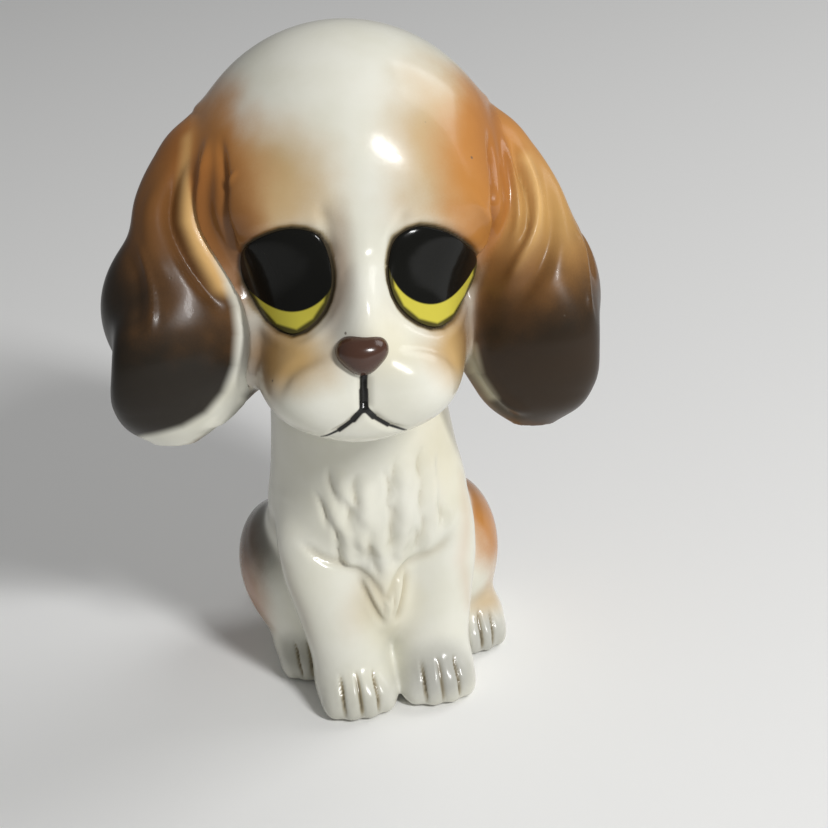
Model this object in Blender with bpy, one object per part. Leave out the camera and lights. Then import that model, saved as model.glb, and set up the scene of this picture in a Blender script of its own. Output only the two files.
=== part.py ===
"""Seated puppy figurine with a large round head and long hanging ears, in glazed ceramic.

The pieces are the ones that a potter lutes together with slip: a hollow torso and a hollow
head, two ears, two eyes, a nose, two forelegs, two haunches, two hind paws and a tail.
Units are metres, +Z is up, the puppy faces -Y and its own left side is +X.
The origin is on the standing surface, under the middle of the figure.
"""

from collections import namedtuple
from math import cos, pi, radians, tau

import bmesh
import bpy
import numpy as np
from mathutils import Euler, Matrix, Quaternion, Vector

MM = 0.001

# Driving dimensions
GAP = 0.3 * MM             # joint left between two pieces that touch
WALL = 4.5 * MM            # thickness of the cast walls
VENT_RADIUS = 5.0 * MM     # vent hole in the underside
NECK_BORE = 13.0 * MM      # open way between the torso and the head
NECK_CUT_HEIGHT = 86.0 * MM
FACET = 1                  # subdivision level of every smooth piece

HEAD_CENTRE = Vector((2.9, 0.0, 154.7)) * MM
HEAD_TURN = Euler((radians(-10), radians(5), radians(-2)), "XYZ")
SKULL_RADII = (45.5 * MM, 43.5 * MM, 45.5 * MM)
FLESH = 5.0 * MM           # softness of the blend between the forms of the head

EYE_PLACES = {"left": Vector((18.5, -37.0, -21.5)) * MM, "right": Vector((-20.0, -36.0, -19.5)) * MM}
EYE_RADII = (12.4 * MM, 16.0 * MM, 14.0 * MM)
EYE_DEPTH = 2.2 * MM       # how proud of the face an eye stands
NOSE_PLACE = Vector((-1.5, -56.0, -37.5)) * MM
NOSE_RADII = (6.8 * MM, 6.5 * MM, 6.0 * MM)
HAUNCH_PLACE = Vector((25.0, 14.0, 27.0)) * MM
HAUNCH_RADII = (15.5 * MM, 24.5 * MM, 21.5 * MM)

# One cross-section of a lofted form: its centre, half its width and half its depth in mm,
# and its turn about the form's own line in degrees
Ring = namedtuple("Ring", "x y z half_x half_y turn", defaults=(0,))

TORSO_RINGS = (
    Ring(0, 7, -12, 24, 24),
    Ring(0, 8, 2, 28, 28),
    Ring(0, 9, 15, 30, 31),
    Ring(0, 8, 30, 30.5, 30),
    Ring(0, 4, 45, 30.5, 27.5),
    Ring(0, 0, 58, 30, 25),
    Ring(0, -1, 70, 28, 24),
    Ring(0, -1, 82, 26.5, 23.5),
    Ring(0, 0, 95, 25, 23),
    Ring(1, 1, 108, 24, 22),
    Ring(1, 1, 120, 18, 17),
)
FORELEG_RINGS = (
    Ring(19, -6, 66, 6, 6),
    Ring(19, -11, 55, 10, 9),
    Ring(18, -15, 42, 11.5, 10.5),
    Ring(15.5, -18, 28, 11, 11),
    Ring(13.5, -20.5, 16, 10.5, 12),
    Ring(12.6, -23, 6, 11.5, 15.5),
    Ring(12.6, -24, -3, 11.5, 15),
    Ring(12.6, -24, -10, 8, 10),
)
# The hind paws are given for a paw in the middle and then moved out to each side
HIND_PAW_RINGS = (
    Ring(-2, 21, 7, 7, 7),
    Ring(-1, 12, 9, 10, 10),
    Ring(0, 2, 8.5, 10.5, 9.5),
    Ring(0, -7, 6.5, 9, 7.5),
    Ring(0, -12.5, 5, 5, 4.5),
)
HIND_PAW_OUT = {"left": 29.0, "right": 23.5}
TAIL_RINGS = (
    Ring(0, 34, 10, 6.5, 6.5),
    Ring(-3, 42, 8, 7.5, 7.5),
    Ring(-12, 46, 6, 7.5, 7),
    Ring(-22, 45, 5, 6.5, 6),
    Ring(-30, 41, 4.5, 5, 5),
    Ring(-35, 37, 4.5, 2.5, 2.5),
)
# The ears are given in the head's own frame, from the root down to the tip
EAR_RINGS = (
    Ring(35, 2, 21, 5, 5),
    Ring(38.5, 0, 17, 8, 8.5, -10),
    Ring(42.5, -3, 9, 11, 10.5, -20),
    Ring(46, -9, -1, 13.5, 11, -25),
    Ring(48, -15, -15, 15, 10.5, -28),
    Ring(47, -19, -30, 20, 10.5, -28),
    Ring(47, -20, -44, 21, 10.5, -25),
    Ring(50, -17, -57, 18, 9.5, -20),
    Ring(51, -14, -65, 12.5, 7.5, -15),
    Ring(51.5, -12, -70, 6, 4),
)
EAR_LOBE_PLACE = Vector((56.5, -2.0, -30.0)) * MM
EAR_LOBE_RADII = (14.0 * MM, 12.0 * MM, 18.0 * MM)

# Rounded forms that make up the head, in its own frame: centre and radii in mm
Form = namedtuple("Form", "centre radii")
HEAD_FORMS = (
    Form((0, 0, 0), tuple(radius / MM for radius in SKULL_RADII)),
    Form((0, -12, -28), (27.5, 28, 26)),
    Form((14, -24, -43), (14.5, 19, 16)),
    Form((-14, -24, -43), (14.5, 19, 16)),
    Form((11, -40, -46), (13.5, 16, 12.5)),
    Form((-11, -40, -46), (13.5, 16, 12.5)),
    Form((0, -38, -30), (8, 18, 14)),
    Form((0, -38, -55), (9, 10, 7)),
    Form((0, 6, -40), (25, 24, 20)),
)


def clear_scene():
    """Remove whatever the open file holds."""
    for thing in list(bpy.data.objects):
        bpy.data.objects.remove(thing, do_unlink=True)


def glaze(name, colour, roughness=0.14):
    """A glossy fired glaze in one colour."""
    material = bpy.data.materials.new(name)
    material.use_nodes = True
    shader = material.node_tree.nodes["Principled BSDF"]
    shader.inputs["Base Color"].default_value = (*colour, 1.0)
    shader.inputs["Roughness"].default_value = roughness
    shader.inputs["Metallic"].default_value = 0.0
    material.diffuse_color = (*colour, 1.0)
    return material


def cream_glaze(piece):
    """Greenish white ground glaze of the coat."""
    return glaze(f"{piece}_cream_glaze", (0.78, 0.76, 0.67))


def ear_glaze(piece):
    """Dark brown sprayed over the ears."""
    return glaze(f"{piece}_dark_brown_glaze", (0.13, 0.055, 0.025))


def patch_glaze(piece):
    """Orange brown sprayed over the haunches and the tail."""
    return glaze(f"{piece}_orange_brown_glaze", (0.50, 0.20, 0.05))


def eye_glaze(piece):
    """Black enamel of the eyes."""
    return glaze(f"{piece}_black_glaze", (0.012, 0.010, 0.010), roughness=0.06)


def nose_glaze(piece):
    """Chocolate brown of the nose."""
    return glaze(f"{piece}_chocolate_glaze", (0.07, 0.03, 0.02), roughness=0.10)


def object_from(name, mesh_builder, parent=None):
    """Turn a bmesh into a linked object whose faces point out."""
    bmesh.ops.recalc_face_normals(mesh_builder, faces=mesh_builder.faces)
    mesh = bpy.data.meshes.new(name)
    mesh_builder.to_mesh(mesh)
    mesh_builder.free()
    mesh.shade_smooth()
    thing = bpy.data.objects.new(name, mesh)
    bpy.context.scene.collection.objects.link(thing)
    thing.parent = parent
    return thing


def subdivide(thing, levels=FACET):
    """Round a cage off with the same level for the viewport and the render."""
    modifier = thing.modifiers.new("round", "SUBSURF")
    modifier.levels = levels
    modifier.render_levels = levels
    return thing


def as_cutter(thing):
    """Keep a helper out of the model: it only cuts other pieces."""
    thing.hide_render = True
    thing.display_type = "WIRE"
    return thing


def boolean(thing, cutter, operation="DIFFERENCE"):
    """Cut or join a piece with another closed mesh."""
    modifier = thing.modifiers.new(f"{operation.lower()}_{cutter.name}", "BOOLEAN")
    modifier.operation = operation
    modifier.solver = "EXACT"
    modifier.object = cutter
    return thing


def mirrored(rings, side):
    """The same rings on the other side of the middle plane when side is -1."""
    return tuple(ring._replace(x=ring.x * side, turn=ring.turn * side) for ring in rings)


def ring_frames(rings):
    """The plane of each ring: its centre, its sideways axis and its other axis."""
    centres = [Vector((ring.x, ring.y, ring.z)) * MM for ring in rings]
    frames = []
    for index, centre in enumerate(centres):
        before = centres[max(index - 1, 0)]
        after = centres[min(index + 1, len(centres) - 1)]
        along = (after - before).normalized()
        across = Vector((1, 0, 0))
        if abs(along.x) > 0.7:
            across = Vector((0, 1, 0))
        across = (across - along * across.dot(along)).normalized()
        across.rotate(Quaternion(along, radians(rings[index].turn)))
        frames.append((centre, across, along.cross(across), along))
    return frames


def loft(name, rings, grow=0.0, sides=12, parent=None):
    """Closed round form through a row of elliptical rings, grown outwards by a margin."""
    # a subdivided ring shrinks from its cage by this much
    fill = 3.0 / (2.0 + cos(tau / sides))
    builder = bmesh.new()
    loops = []
    last = len(rings) - 1
    for index, (ring, frame) in enumerate(zip(rings, ring_frames(rings))):
        centre, across, other, along = frame
        shift = grow * ((index == last) - (index == 0))
        loop = []
        for step in range(sides):
            turn = tau * step / sides
            offset = across * cos(turn) * (ring.half_x * MM + grow) * fill
            offset += other * cos(turn - pi / 2) * (ring.half_y * MM + grow) * fill
            loop.append(builder.verts.new(centre + along * shift + offset))
        loops.append(loop)
    for lower, upper in zip(loops, loops[1:]):
        for step in range(sides):
            following = (step + 1) % sides
            builder.faces.new((lower[step], lower[following], upper[following], upper[step]))
    builder.faces.new(loops[0])
    builder.faces.new(loops[-1])
    return subdivide(object_from(name, builder, parent))


def ellipsoid(name, centre, radii, grow=0.0, parent=None, segments=20):
    """Closed ellipsoid with its poles along Z, grown outwards by a margin."""
    builder = bmesh.new()
    bmesh.ops.create_uvsphere(builder, u_segments=segments, v_segments=segments // 2, radius=1.0)
    size = Matrix.Diagonal([radius + grow for radius in radii]).to_4x4()
    bmesh.ops.transform(builder, matrix=Matrix.Translation(centre) @ size, verts=builder.verts)
    return object_from(name, builder, parent)


def ground_cutter():
    """Block under the standing surface, which trims the feet and the base flat."""
    builder = bmesh.new()
    bmesh.ops.create_cube(builder, size=1.0)
    block = Matrix.Translation((0, 0, -0.025)) @ Matrix.Diagonal((0.3, 0.3, 0.05, 1.0))
    bmesh.ops.transform(builder, matrix=block, verts=builder.verts)
    return as_cutter(object_from("cutter_ground", builder))


def upright_cylinder(name, radius, bottom, top, x=0.0, y=0.0, sides=24):
    """Cylinder along Z used to open a hole."""
    builder = bmesh.new()
    bmesh.ops.create_cone(
        builder, cap_ends=True, segments=sides, radius1=radius, radius2=radius, depth=top - bottom
    )
    place = Matrix.Translation((x, y, (bottom + top) / 2))
    bmesh.ops.transform(builder, matrix=place, verts=builder.verts)
    return as_cutter(object_from(name, builder))


def head_distance(points):
    """Blended distance in mm from the head's forms to each point, in the head's own frame."""
    total = np.zeros(len(points))
    for form in HEAD_FORMS:
        radii = np.array(form.radii)
        scaled = (points - np.array(form.centre)) / radii
        length = np.linalg.norm(scaled, axis=1)
        slope = np.linalg.norm(scaled / radii, axis=1)
        distance = length * (length - 1.0) / np.maximum(slope, 1e-9)
        total += np.exp(-distance / (FLESH / MM))
    return -(FLESH / MM) * np.log(total)


def head_form(name, grow=0.0, cuts=9, parent=None):
    """Skull, muzzle and jaw as one closed form, grown outwards by a margin."""
    builder = bmesh.new()
    bmesh.ops.create_cube(builder, size=2.0)
    bmesh.ops.subdivide_edges(builder, edges=builder.edges, cuts=cuts, use_grid_fill=True)
    heart = np.array((0.0, -8.0, -14.0))
    rays = np.array([tuple(corner.co.normalized()) for corner in builder.verts])
    near = np.full(len(rays), 8.0)
    far = np.full(len(rays), 90.0)
    for _ in range(24):
        middle = (near + far) / 2
        inside = head_distance(heart + rays * middle[:, None]) < grow / MM
        near = np.where(inside, middle, near)
        far = np.where(inside, far, middle)
    surface = (heart + rays * near[:, None]) * MM
    for corner, place in zip(builder.verts, surface):
        corner.co = place
    # the same diagonals in every copy of the form, so that a seat stays parallel to the head
    bmesh.ops.triangulate(builder, faces=builder.faces, quad_method="FIXED")
    return object_from(name, builder, parent)


def head_pose():
    """Empty that carries the head: a slight nod and tilt on top of the neck."""
    pose = bpy.data.objects.new("head_pose", None)
    bpy.context.scene.collection.objects.link(pose)
    pose.location = HEAD_CENTRE
    pose.rotation_euler = HEAD_TURN
    return pose


def make_torso(head_seat, ground):
    """Hollow torso: cast wall, flat base with a vent hole, and a seat for the head on the neck."""
    torso = loft("torso_shell", TORSO_RINGS, sides=16)
    hollow = as_cutter(loft("cutter_torso_hollow", TORSO_RINGS[1:-1], grow=-WALL, sides=12))
    bore = upright_cylinder("cutter_neck_bore", NECK_BORE, NECK_CUT_HEIGHT, 0.130)
    vent = upright_cylinder("cutter_vent", VENT_RADIUS, -0.01, 0.02, y=0.008)
    boolean(torso, ground)
    boolean(torso, head_seat)
    boolean(torso, hollow)
    boolean(torso, bore)
    boolean(torso, vent)
    torso.data.materials.append(cream_glaze("torso"))
    return torso


def make_head(pose):
    """Hollow head with an open neck underneath."""
    head = head_form("head_shell", cuts=13, parent=pose)
    hollow = as_cutter(head_form("cutter_head_hollow", grow=-WALL, cuts=9, parent=pose))
    bore = upright_cylinder("cutter_head_bore", NECK_BORE, NECK_CUT_HEIGHT, 0.125)
    boolean(head, hollow)
    boolean(head, bore)
    head.data.materials.append(cream_glaze("head"))
    return head


def make_ear(side, name, seat, pose):
    """Thick leaf of an ear with a second lobe behind it, luted to the side of the skull."""
    ear = loft(name, mirrored(EAR_RINGS, side), sides=12, parent=pose)
    place = Vector((EAR_LOBE_PLACE.x * side, EAR_LOBE_PLACE.y, EAR_LOBE_PLACE.z))
    lobe = as_cutter(ellipsoid(f"lobe_{name}", place, EAR_LOBE_RADII, parent=pose))
    boolean(ear, lobe, "UNION")
    boolean(ear, seat)
    ear.data.materials.append(ear_glaze(name))
    return ear


def make_eye(place, name, seat, dome, pose):
    """Glossy oval of an eye, which follows the curve of the face and stands proud of it."""
    eye = ellipsoid(name, place, EYE_RADII, parent=pose, segments=28)
    boolean(eye, dome, "INTERSECT")
    boolean(eye, seat)
    eye.data.materials.append(eye_glaze(name))
    return eye


def make_nose(seat, pose):
    """Button nose on the end of the muzzle."""
    nose = ellipsoid("nose", NOSE_PLACE, NOSE_RADII, parent=pose)
    boolean(nose, seat)
    nose.data.materials.append(nose_glaze("nose"))
    return nose


def make_foreleg(side, name, cutters):
    """Straight foreleg with its paw, from the shoulder to the ground."""
    leg = loft(name, mirrored(FORELEG_RINGS, side))
    for cutter in cutters:
        boolean(leg, cutter)
    leg.data.materials.append(cream_glaze(name))
    return leg


def make_haunch(side, name, cutters):
    """Folded thigh, a thick disc on the side of the torso."""
    place = Vector((HAUNCH_PLACE.x * side, HAUNCH_PLACE.y, HAUNCH_PLACE.z))
    haunch = ellipsoid(name, place, HAUNCH_RADII, segments=28)
    for cutter in cutters:
        boolean(haunch, cutter)
    haunch.data.materials.append(patch_glaze(name))
    return haunch


def make_hind_paw(side, word, cutters):
    """Hind paw that sticks out in front of the haunch."""
    name = f"hind_paw_{word}"
    rings = tuple(ring._replace(x=ring.x + HIND_PAW_OUT[word]) for ring in HIND_PAW_RINGS)
    paw = loft(name, mirrored(rings, side))
    for cutter in cutters:
        boolean(paw, cutter)
    paw.data.materials.append(cream_glaze(name))
    return paw


def make_tail(cutters):
    """Short tail that curls round on the ground."""
    tail = loft("tail", TAIL_RINGS)
    for cutter in cutters:
        boolean(tail, cutter)
    tail.data.materials.append(patch_glaze("tail"))
    return tail


def haunch_cutter(side, word):
    """The haunch grown by the joint gap, which trims what touches it."""
    place = Vector((HAUNCH_PLACE.x * side, HAUNCH_PLACE.y, HAUNCH_PLACE.z))
    return as_cutter(ellipsoid(f"cutter_haunch_{word}", place, HAUNCH_RADII, grow=GAP, segments=28))


def leg_divider(side, word):
    """Block past the middle plane, which keeps the forelegs a joint gap apart."""
    builder = bmesh.new()
    bmesh.ops.create_cube(builder, size=1.0)
    place = Matrix.Translation((-side * (0.025 - GAP / 2), -0.02, 0.03))
    size = Matrix.Diagonal((0.05, 0.1, 0.1, 1.0))
    bmesh.ops.transform(builder, matrix=place @ size, verts=builder.verts)
    return as_cutter(object_from(f"cutter_middle_{word}", builder))


def main():
    """Build every piece in the order in which a potter would put them together."""
    clear_scene()
    pose = head_pose()
    ground = ground_cutter()
    head_seat = as_cutter(head_form("cutter_head_seat", grow=GAP, cuts=13, parent=pose))
    eye_dome = as_cutter(head_form("cutter_eye_dome", grow=EYE_DEPTH, cuts=13, parent=pose))
    torso_seat = as_cutter(loft("cutter_torso_seat", TORSO_RINGS, grow=GAP, sides=16))

    make_torso(head_seat, ground)
    make_head(pose)
    make_nose(head_seat, pose)
    haunch_seats = []
    for side, word in ((1, "left"), (-1, "right")):
        make_ear(side, f"ear_{word}", head_seat, pose)
        make_eye(EYE_PLACES[word], f"eye_{word}", head_seat, eye_dome, pose)
        leg_rings = mirrored(FORELEG_RINGS, side)
        leg_seat = as_cutter(loft(f"cutter_foreleg_{word}", leg_rings, grow=GAP))
        haunch_seat = haunch_cutter(side, word)
        haunch_seats.append(haunch_seat)
        make_foreleg(side, f"foreleg_{word}", (ground, torso_seat, leg_divider(side, word)))
        make_haunch(side, f"haunch_{word}", (ground, torso_seat, leg_seat))
        make_hind_paw(side, word, (ground, torso_seat, haunch_seat, leg_seat))
    make_tail((ground, torso_seat, *haunch_seats))


main()
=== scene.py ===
"""Seated puppy figurine in glazed ceramic: its fine surface, its sprayed glazes, light and camera.

The figure is thrown together in clay first. Soft lumps are blended into one skin, the skin is
tooled (folds, toes, fur, mouth), and it is then parted into the pieces that a potter lutes
together, so that the glaze runs on from piece to piece without a step. Lengths are in
millimetres in the clay work and in metres in the finished meshes. +Z is up, the puppy faces -Y
and its own left side is +X.
"""

import logging
from collections.abc import Iterator, Sequence
from dataclasses import dataclass, field, replace
from enum import Enum
from itertools import product
from math import cos, pi, radians, sin

import bmesh
import bpy
import numpy as np
from mathutils import Euler, Matrix, Vector


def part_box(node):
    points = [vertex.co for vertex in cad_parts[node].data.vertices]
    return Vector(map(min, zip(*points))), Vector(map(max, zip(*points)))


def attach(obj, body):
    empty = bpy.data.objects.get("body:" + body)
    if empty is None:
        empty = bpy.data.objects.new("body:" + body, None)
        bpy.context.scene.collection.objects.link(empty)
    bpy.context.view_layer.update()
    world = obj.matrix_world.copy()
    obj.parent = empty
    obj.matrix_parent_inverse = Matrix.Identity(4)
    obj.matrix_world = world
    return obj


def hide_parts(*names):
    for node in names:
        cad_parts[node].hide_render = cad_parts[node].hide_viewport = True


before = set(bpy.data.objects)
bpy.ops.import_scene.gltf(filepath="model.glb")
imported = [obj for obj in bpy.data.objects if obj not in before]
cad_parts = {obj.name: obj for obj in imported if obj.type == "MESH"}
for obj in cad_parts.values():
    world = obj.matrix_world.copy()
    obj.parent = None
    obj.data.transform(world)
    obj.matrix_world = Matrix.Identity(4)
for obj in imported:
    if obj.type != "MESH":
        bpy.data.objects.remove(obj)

LOG = logging.getLogger("puppy")
MM = 0.001
TUCK = 2.2                 # how far the open edges of a piece are turned inwards, in mm
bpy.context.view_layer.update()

Point = tuple[float, float, float]
Colour = tuple[float, float, float]


class Side(Enum):
    """The puppy's own left and right."""

    LEFT = 1
    RIGHT = -1

    @property
    def word(self) -> str:
        """The side as it stands in a node's name."""
        return self.name.lower()


class Slot(Enum):
    """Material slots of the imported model."""

    CREAM = "cream_glaze"
    EAR = "ear_glaze"
    PATCH = "patch_glaze"
    EYE = "eye_glaze"
    NOSE = "nose_glaze"


def flipped(point: Point, side: Side) -> Point:
    """Mirror a point to the given side of the puppy."""
    return (point[0] * side.value, point[1], point[2])


def eased(level: np.ndarray, table: np.ndarray, spots: np.ndarray) -> np.ndarray:
    """Read a table along a smooth curve through its rows.

    Args:
        level: where each row stands, rising.
        table: the rows.
        spots: where to read it.

    Returns:
        One row for each spot.
    """
    slope = np.gradient(table, level, axis=0)
    low = np.clip(np.searchsorted(level, spots) - 1, 0, len(level) - 2)
    width = (level[low + 1] - level[low])[:, None]
    part = (spots - level[low])[:, None] / width
    start = (1 + 2 * part) * (1 - part) ** 2 * table[low]
    start += part * (1 - part) ** 2 * width * slope[low]
    end = part ** 2 * (3 - 2 * part) * table[low + 1]
    end += part ** 2 * (part - 1) * width * slope[low + 1]
    return start + end


def stand(name: str, data: bpy.types.ID) -> bpy.types.Object:
    """Make an object of some data and put it in the scene."""
    thing = bpy.data.objects.new(name, data)
    bpy.context.scene.collection.objects.link(thing)
    return thing


# ---------------------------------------------------------------------------
# Clay: forms that know how far away a point is
# ---------------------------------------------------------------------------

class Lump:
    """A closed form of clay."""

    def distance(self, points: np.ndarray) -> np.ndarray:
        """Signed distance in mm from the skin, negative inside.

        Args:
            points: places in mm, one row each.

        Returns:
            One distance for each row.
        """
        raise NotImplementedError

    def gradient(self, points: np.ndarray, step: float = 0.05) -> np.ndarray:
        """Slope of the distance, which points straight out of the form.

        Args:
            points: places in mm, one row each.
            step: half the span over which the slope is measured, in mm.

        Returns:
            One slope for each row.
        """
        slope = np.empty_like(points)
        for axis in range(3):
            shift = np.zeros(3)
            shift[axis] = step
            ahead = self.distance(points + shift)
            slope[:, axis] = (ahead - self.distance(points - shift)) / (2 * step)
        return slope

    def settle(self, points: np.ndarray, rounds: int = 3) -> np.ndarray:
        """Move points onto the skin.

        Args:
            points: places in mm near the skin.
            rounds: number of steps towards it.

        Returns:
            The places on the skin.
        """
        for _ in range(rounds):
            slope = self.gradient(points)
            steep = np.maximum((slope ** 2).sum(axis=1), 0.05)
            move = (self.distance(points) / steep)[:, None] * slope
            reach = np.linalg.norm(move, axis=1, keepdims=True)
            points = points - move * np.minimum(1.0, 3.0 / np.maximum(reach, 1e-9))
        return points


@dataclass(frozen=True)
class Ball(Lump):
    """An ellipsoid of clay.

    Attributes:
        centre: its middle in mm.
        radii: its three half axes in mm.
        turn: its rotation in degrees about X, Y and Z.
    """

    centre: Point
    radii: Point
    turn: Point = (0.0, 0.0, 0.0)

    def distance(self, points: np.ndarray) -> np.ndarray:
        """Distance to the ellipsoid, exact enough near its skin."""
        radii = np.array(self.radii)
        offset = points - np.array(self.centre)
        if any(self.turn):
            offset = offset @ np.array(Euler([radians(a) for a in self.turn]).to_matrix())
        scaled = offset / radii
        length = np.linalg.norm(scaled, axis=1)
        slope = np.linalg.norm(scaled / radii, axis=1)
        return length * (length - 1.0) / np.maximum(slope, 1e-9)


@dataclass(frozen=True)
class Ring:
    """One level cross-section of a column, in mm and degrees."""

    x: float
    y: float
    z: float
    half_x: float
    half_y: float
    turn: float = 0.0


@dataclass(frozen=True)
class Column(Lump):
    """An upright form with an elliptical section that changes with height.

    Attributes:
        rings: sections from one end to the other, in order of height.
    """

    rings: tuple[Ring, ...]

    def sections(self, heights: np.ndarray) -> np.ndarray:
        """Smoothly joined sections at some heights.

        Args:
            heights: places along Z in mm.

        Returns:
            Rows of x, y, half_x, half_y and turn.
        """
        rings = sorted(self.rings, key=lambda ring: ring.z)
        level = np.array([ring.z for ring in rings])
        table = np.array([(r.x, r.y, r.half_x, r.half_y, r.turn) for r in rings])
        return eased(level, table, np.clip(heights, level[0], level[-1]))

    def distance(self, points: np.ndarray) -> np.ndarray:
        """Distance to the column, exact enough near its skin."""
        heights = points[:, 2]
        x, y, half_x, half_y, turn = self.sections(heights).T
        angle = np.radians(turn)
        across = (points[:, 0] - x) * np.cos(angle) + (points[:, 1] - y) * np.sin(angle)
        along = (points[:, 1] - y) * np.cos(angle) - (points[:, 0] - x) * np.sin(angle)
        length = np.hypot(across / half_x, along / half_y)
        slope = np.hypot(across / half_x ** 2, along / half_y ** 2)
        inner = np.minimum(half_x, half_y)
        radial = np.where(length > 1e-6, length * (length - 1) / np.maximum(slope, 1e-9), -inner)
        levels = [ring.z for ring in self.rings]
        beyond = np.maximum(heights - max(levels), min(levels) - heights)
        outside = np.hypot(np.maximum(radial, 0), np.maximum(beyond, 0))
        return np.where(beyond > 0, outside, np.maximum(radial, beyond))


@dataclass(frozen=True)
class Blend(Lump):
    """Several lumps pressed together, with the clay smoothed over the joins.

    Attributes:
        lumps: the forms.
        softness: how far the smoothing reaches, in mm.
    """

    lumps: tuple[Lump, ...]
    softness: float

    def distance(self, points: np.ndarray) -> np.ndarray:
        """Distance to the smoothed form."""
        each = np.array([lump.distance(points) for lump in self.lumps])
        least = each.min(axis=0)
        total = np.exp(-(each - least) / self.softness).sum(axis=0)
        return least - self.softness * np.log(total)


def cut(form: np.ndarray, tool: np.ndarray, softness: float) -> np.ndarray:
    """Keep what lies inside both of two forms, with the edge between them rounded.

    Args:
        form: distances to the form.
        tool: distances to what is kept of it.
        softness: rounding of the edge, in mm.

    Returns:
        Distances to what is left.
    """
    most = np.maximum(form, tool)
    total = np.exp((form - most) / softness) + np.exp((tool - most) / softness)
    return most + softness * np.log(total)


@dataclass(frozen=True)
class Pierced(Lump):
    """A form with a hole or a hollow in it.

    Attributes:
        lump: the form.
        hole: the clay that is taken out.
        softness: rounding of the hole's edge, in mm.
    """

    lump: Lump
    hole: Lump
    softness: float = 0.8

    def distance(self, points: np.ndarray) -> np.ndarray:
        """Distance to what is left of the form."""
        return cut(self.lump.distance(points), -self.hole.distance(points), self.softness)


@dataclass(frozen=True)
class Flattened(Lump):
    """A form trimmed level at the standing surface.

    Attributes:
        lump: the form.
        softness: rounding of the trimmed edge, in mm.
    """

    lump: Lump
    softness: float = 0.6

    def distance(self, points: np.ndarray) -> np.ndarray:
        """Distance to the part of the form above the standing surface."""
        return cut(self.lump.distance(points), -points[:, 2], self.softness)


# ---------------------------------------------------------------------------
# Skin: the meshed surface of the clay, and the tools that mark it
# ---------------------------------------------------------------------------

@dataclass
class Skin:
    """A closed mesh of four-sided faces.

    Attributes:
        points: corners in mm.
        quads: four corner numbers for each face.
        carved: how much glaze pools at each corner, with painted shade, added up from the tools' marks, from 0
            to about 1.
        limb: how far each corner belongs to a sprayed limb, from 0 to 1.
    """

    points: np.ndarray
    quads: np.ndarray
    carved: np.ndarray = field(default_factory=lambda: np.zeros(0))
    limb: np.ndarray = field(default_factory=lambda: np.zeros(0))

    def edges(self) -> np.ndarray:
        """Both directions of every edge, as pairs of corner numbers."""
        turned = np.roll(self.quads, -1, axis=1)
        pairs = np.stack([self.quads.ravel(), turned.ravel()], axis=1)
        return np.concatenate([pairs, pairs[:, ::-1]])

    def normals(self) -> np.ndarray:
        """Outward direction at each corner."""
        a, b, c, d = (self.points[self.quads[:, k]] for k in range(4))
        facing = np.cross(c - a, d - b)
        total = np.zeros_like(self.points)
        for k in range(4):
            np.add.at(total, self.quads[:, k], facing)
        return total / np.maximum(np.linalg.norm(total, axis=1, keepdims=True), 1e-12)

    def relax(self, clay: Lump, rounds: int) -> None:
        """Even out the faces while they stay on the clay.

        Args:
            clay: the form that was skinned.
            rounds: number of passes.
        """
        pairs = self.edges()
        count = np.bincount(pairs[:, 0], minlength=len(self.points))[:, None]
        for _ in range(rounds):
            middle = np.zeros_like(self.points)
            np.add.at(middle, pairs[:, 0], self.points[pairs[:, 1]])
            self.points = self.points * 0.4 + middle / count * 0.6
            self.points = clay.settle(self.points, rounds=1)


def skinned(clay: Lump, low: Point, high: Point, step: float) -> Skin:
    """Wrap clay in a net of even four-sided faces.

    Args:
        clay: the form to wrap.
        low: lowest corner of the space to look in, in mm.
        high: highest corner of that space.
        step: width of a face, in mm.

    Returns:
        The closed skin.
    """
    axes = [np.arange(a, b + 4 * step, step) for a, b in zip(low, high)]
    axes = [axis[:len(axis) // 4 * 4] for axis in axes]
    grid = np.stack(np.meshgrid(*axes, indexing="ij"), axis=-1)
    shape = grid.shape[:3]
    middles = grid[::4, ::4, ::4].reshape(-1, 3) + 1.5 * step
    rough = clay.distance(middles).reshape([n // 4 for n in shape])
    for axis in range(3):
        rough = np.repeat(rough, 4, axis=axis)
    inside = rough < 0
    near = np.abs(rough) < 6 * step
    inside[near] = clay.distance(grid[near]) < 0
    filled = np.zeros([n - 1 for n in shape], dtype=np.int8)
    for corner in product((0, 1), repeat=3):
        window = tuple(slice(k, n - 1 + k) for k, n in zip(corner, shape))
        filled += inside[window]
    active = (filled > 0) & (filled < 8)
    number = np.full(active.shape, -1)
    number[active] = np.arange(active.sum())
    points = grid[:-1, :-1, :-1][active] + step / 2
    quads = []
    for axis in range(3):
        one, two = [k for k in range(3) if k != axis]
        before = np.take(inside, range(shape[axis] - 1), axis)
        after = np.take(inside, range(1, shape[axis]), axis)
        crossing = np.argwhere(before != after)
        keep = (crossing[:, one] > 0) & (crossing[:, two] > 0)
        crossing = crossing[keep]
        leaving = before[tuple(crossing.T)]
        around = []
        for back_one, back_two in ((1, 1), (0, 1), (0, 0), (1, 0)):
            cell = crossing.copy()
            cell[:, one] -= back_one
            cell[:, two] -= back_two
            around.append(number[tuple(cell.T)])
        face = np.stack(around, axis=1)
        flip = leaving if axis == 1 else ~leaving
        face[flip] = face[flip][:, ::-1]
        quads.append(face)
    skin = Skin(clay.settle(points, rounds=4), np.concatenate(quads))
    skin.relax(clay, rounds=6)
    skin.points = clay.settle(skin.points)
    skin.carved = np.zeros(len(skin.points))
    skin.limb = np.zeros(len(skin.points))
    return skin


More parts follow.
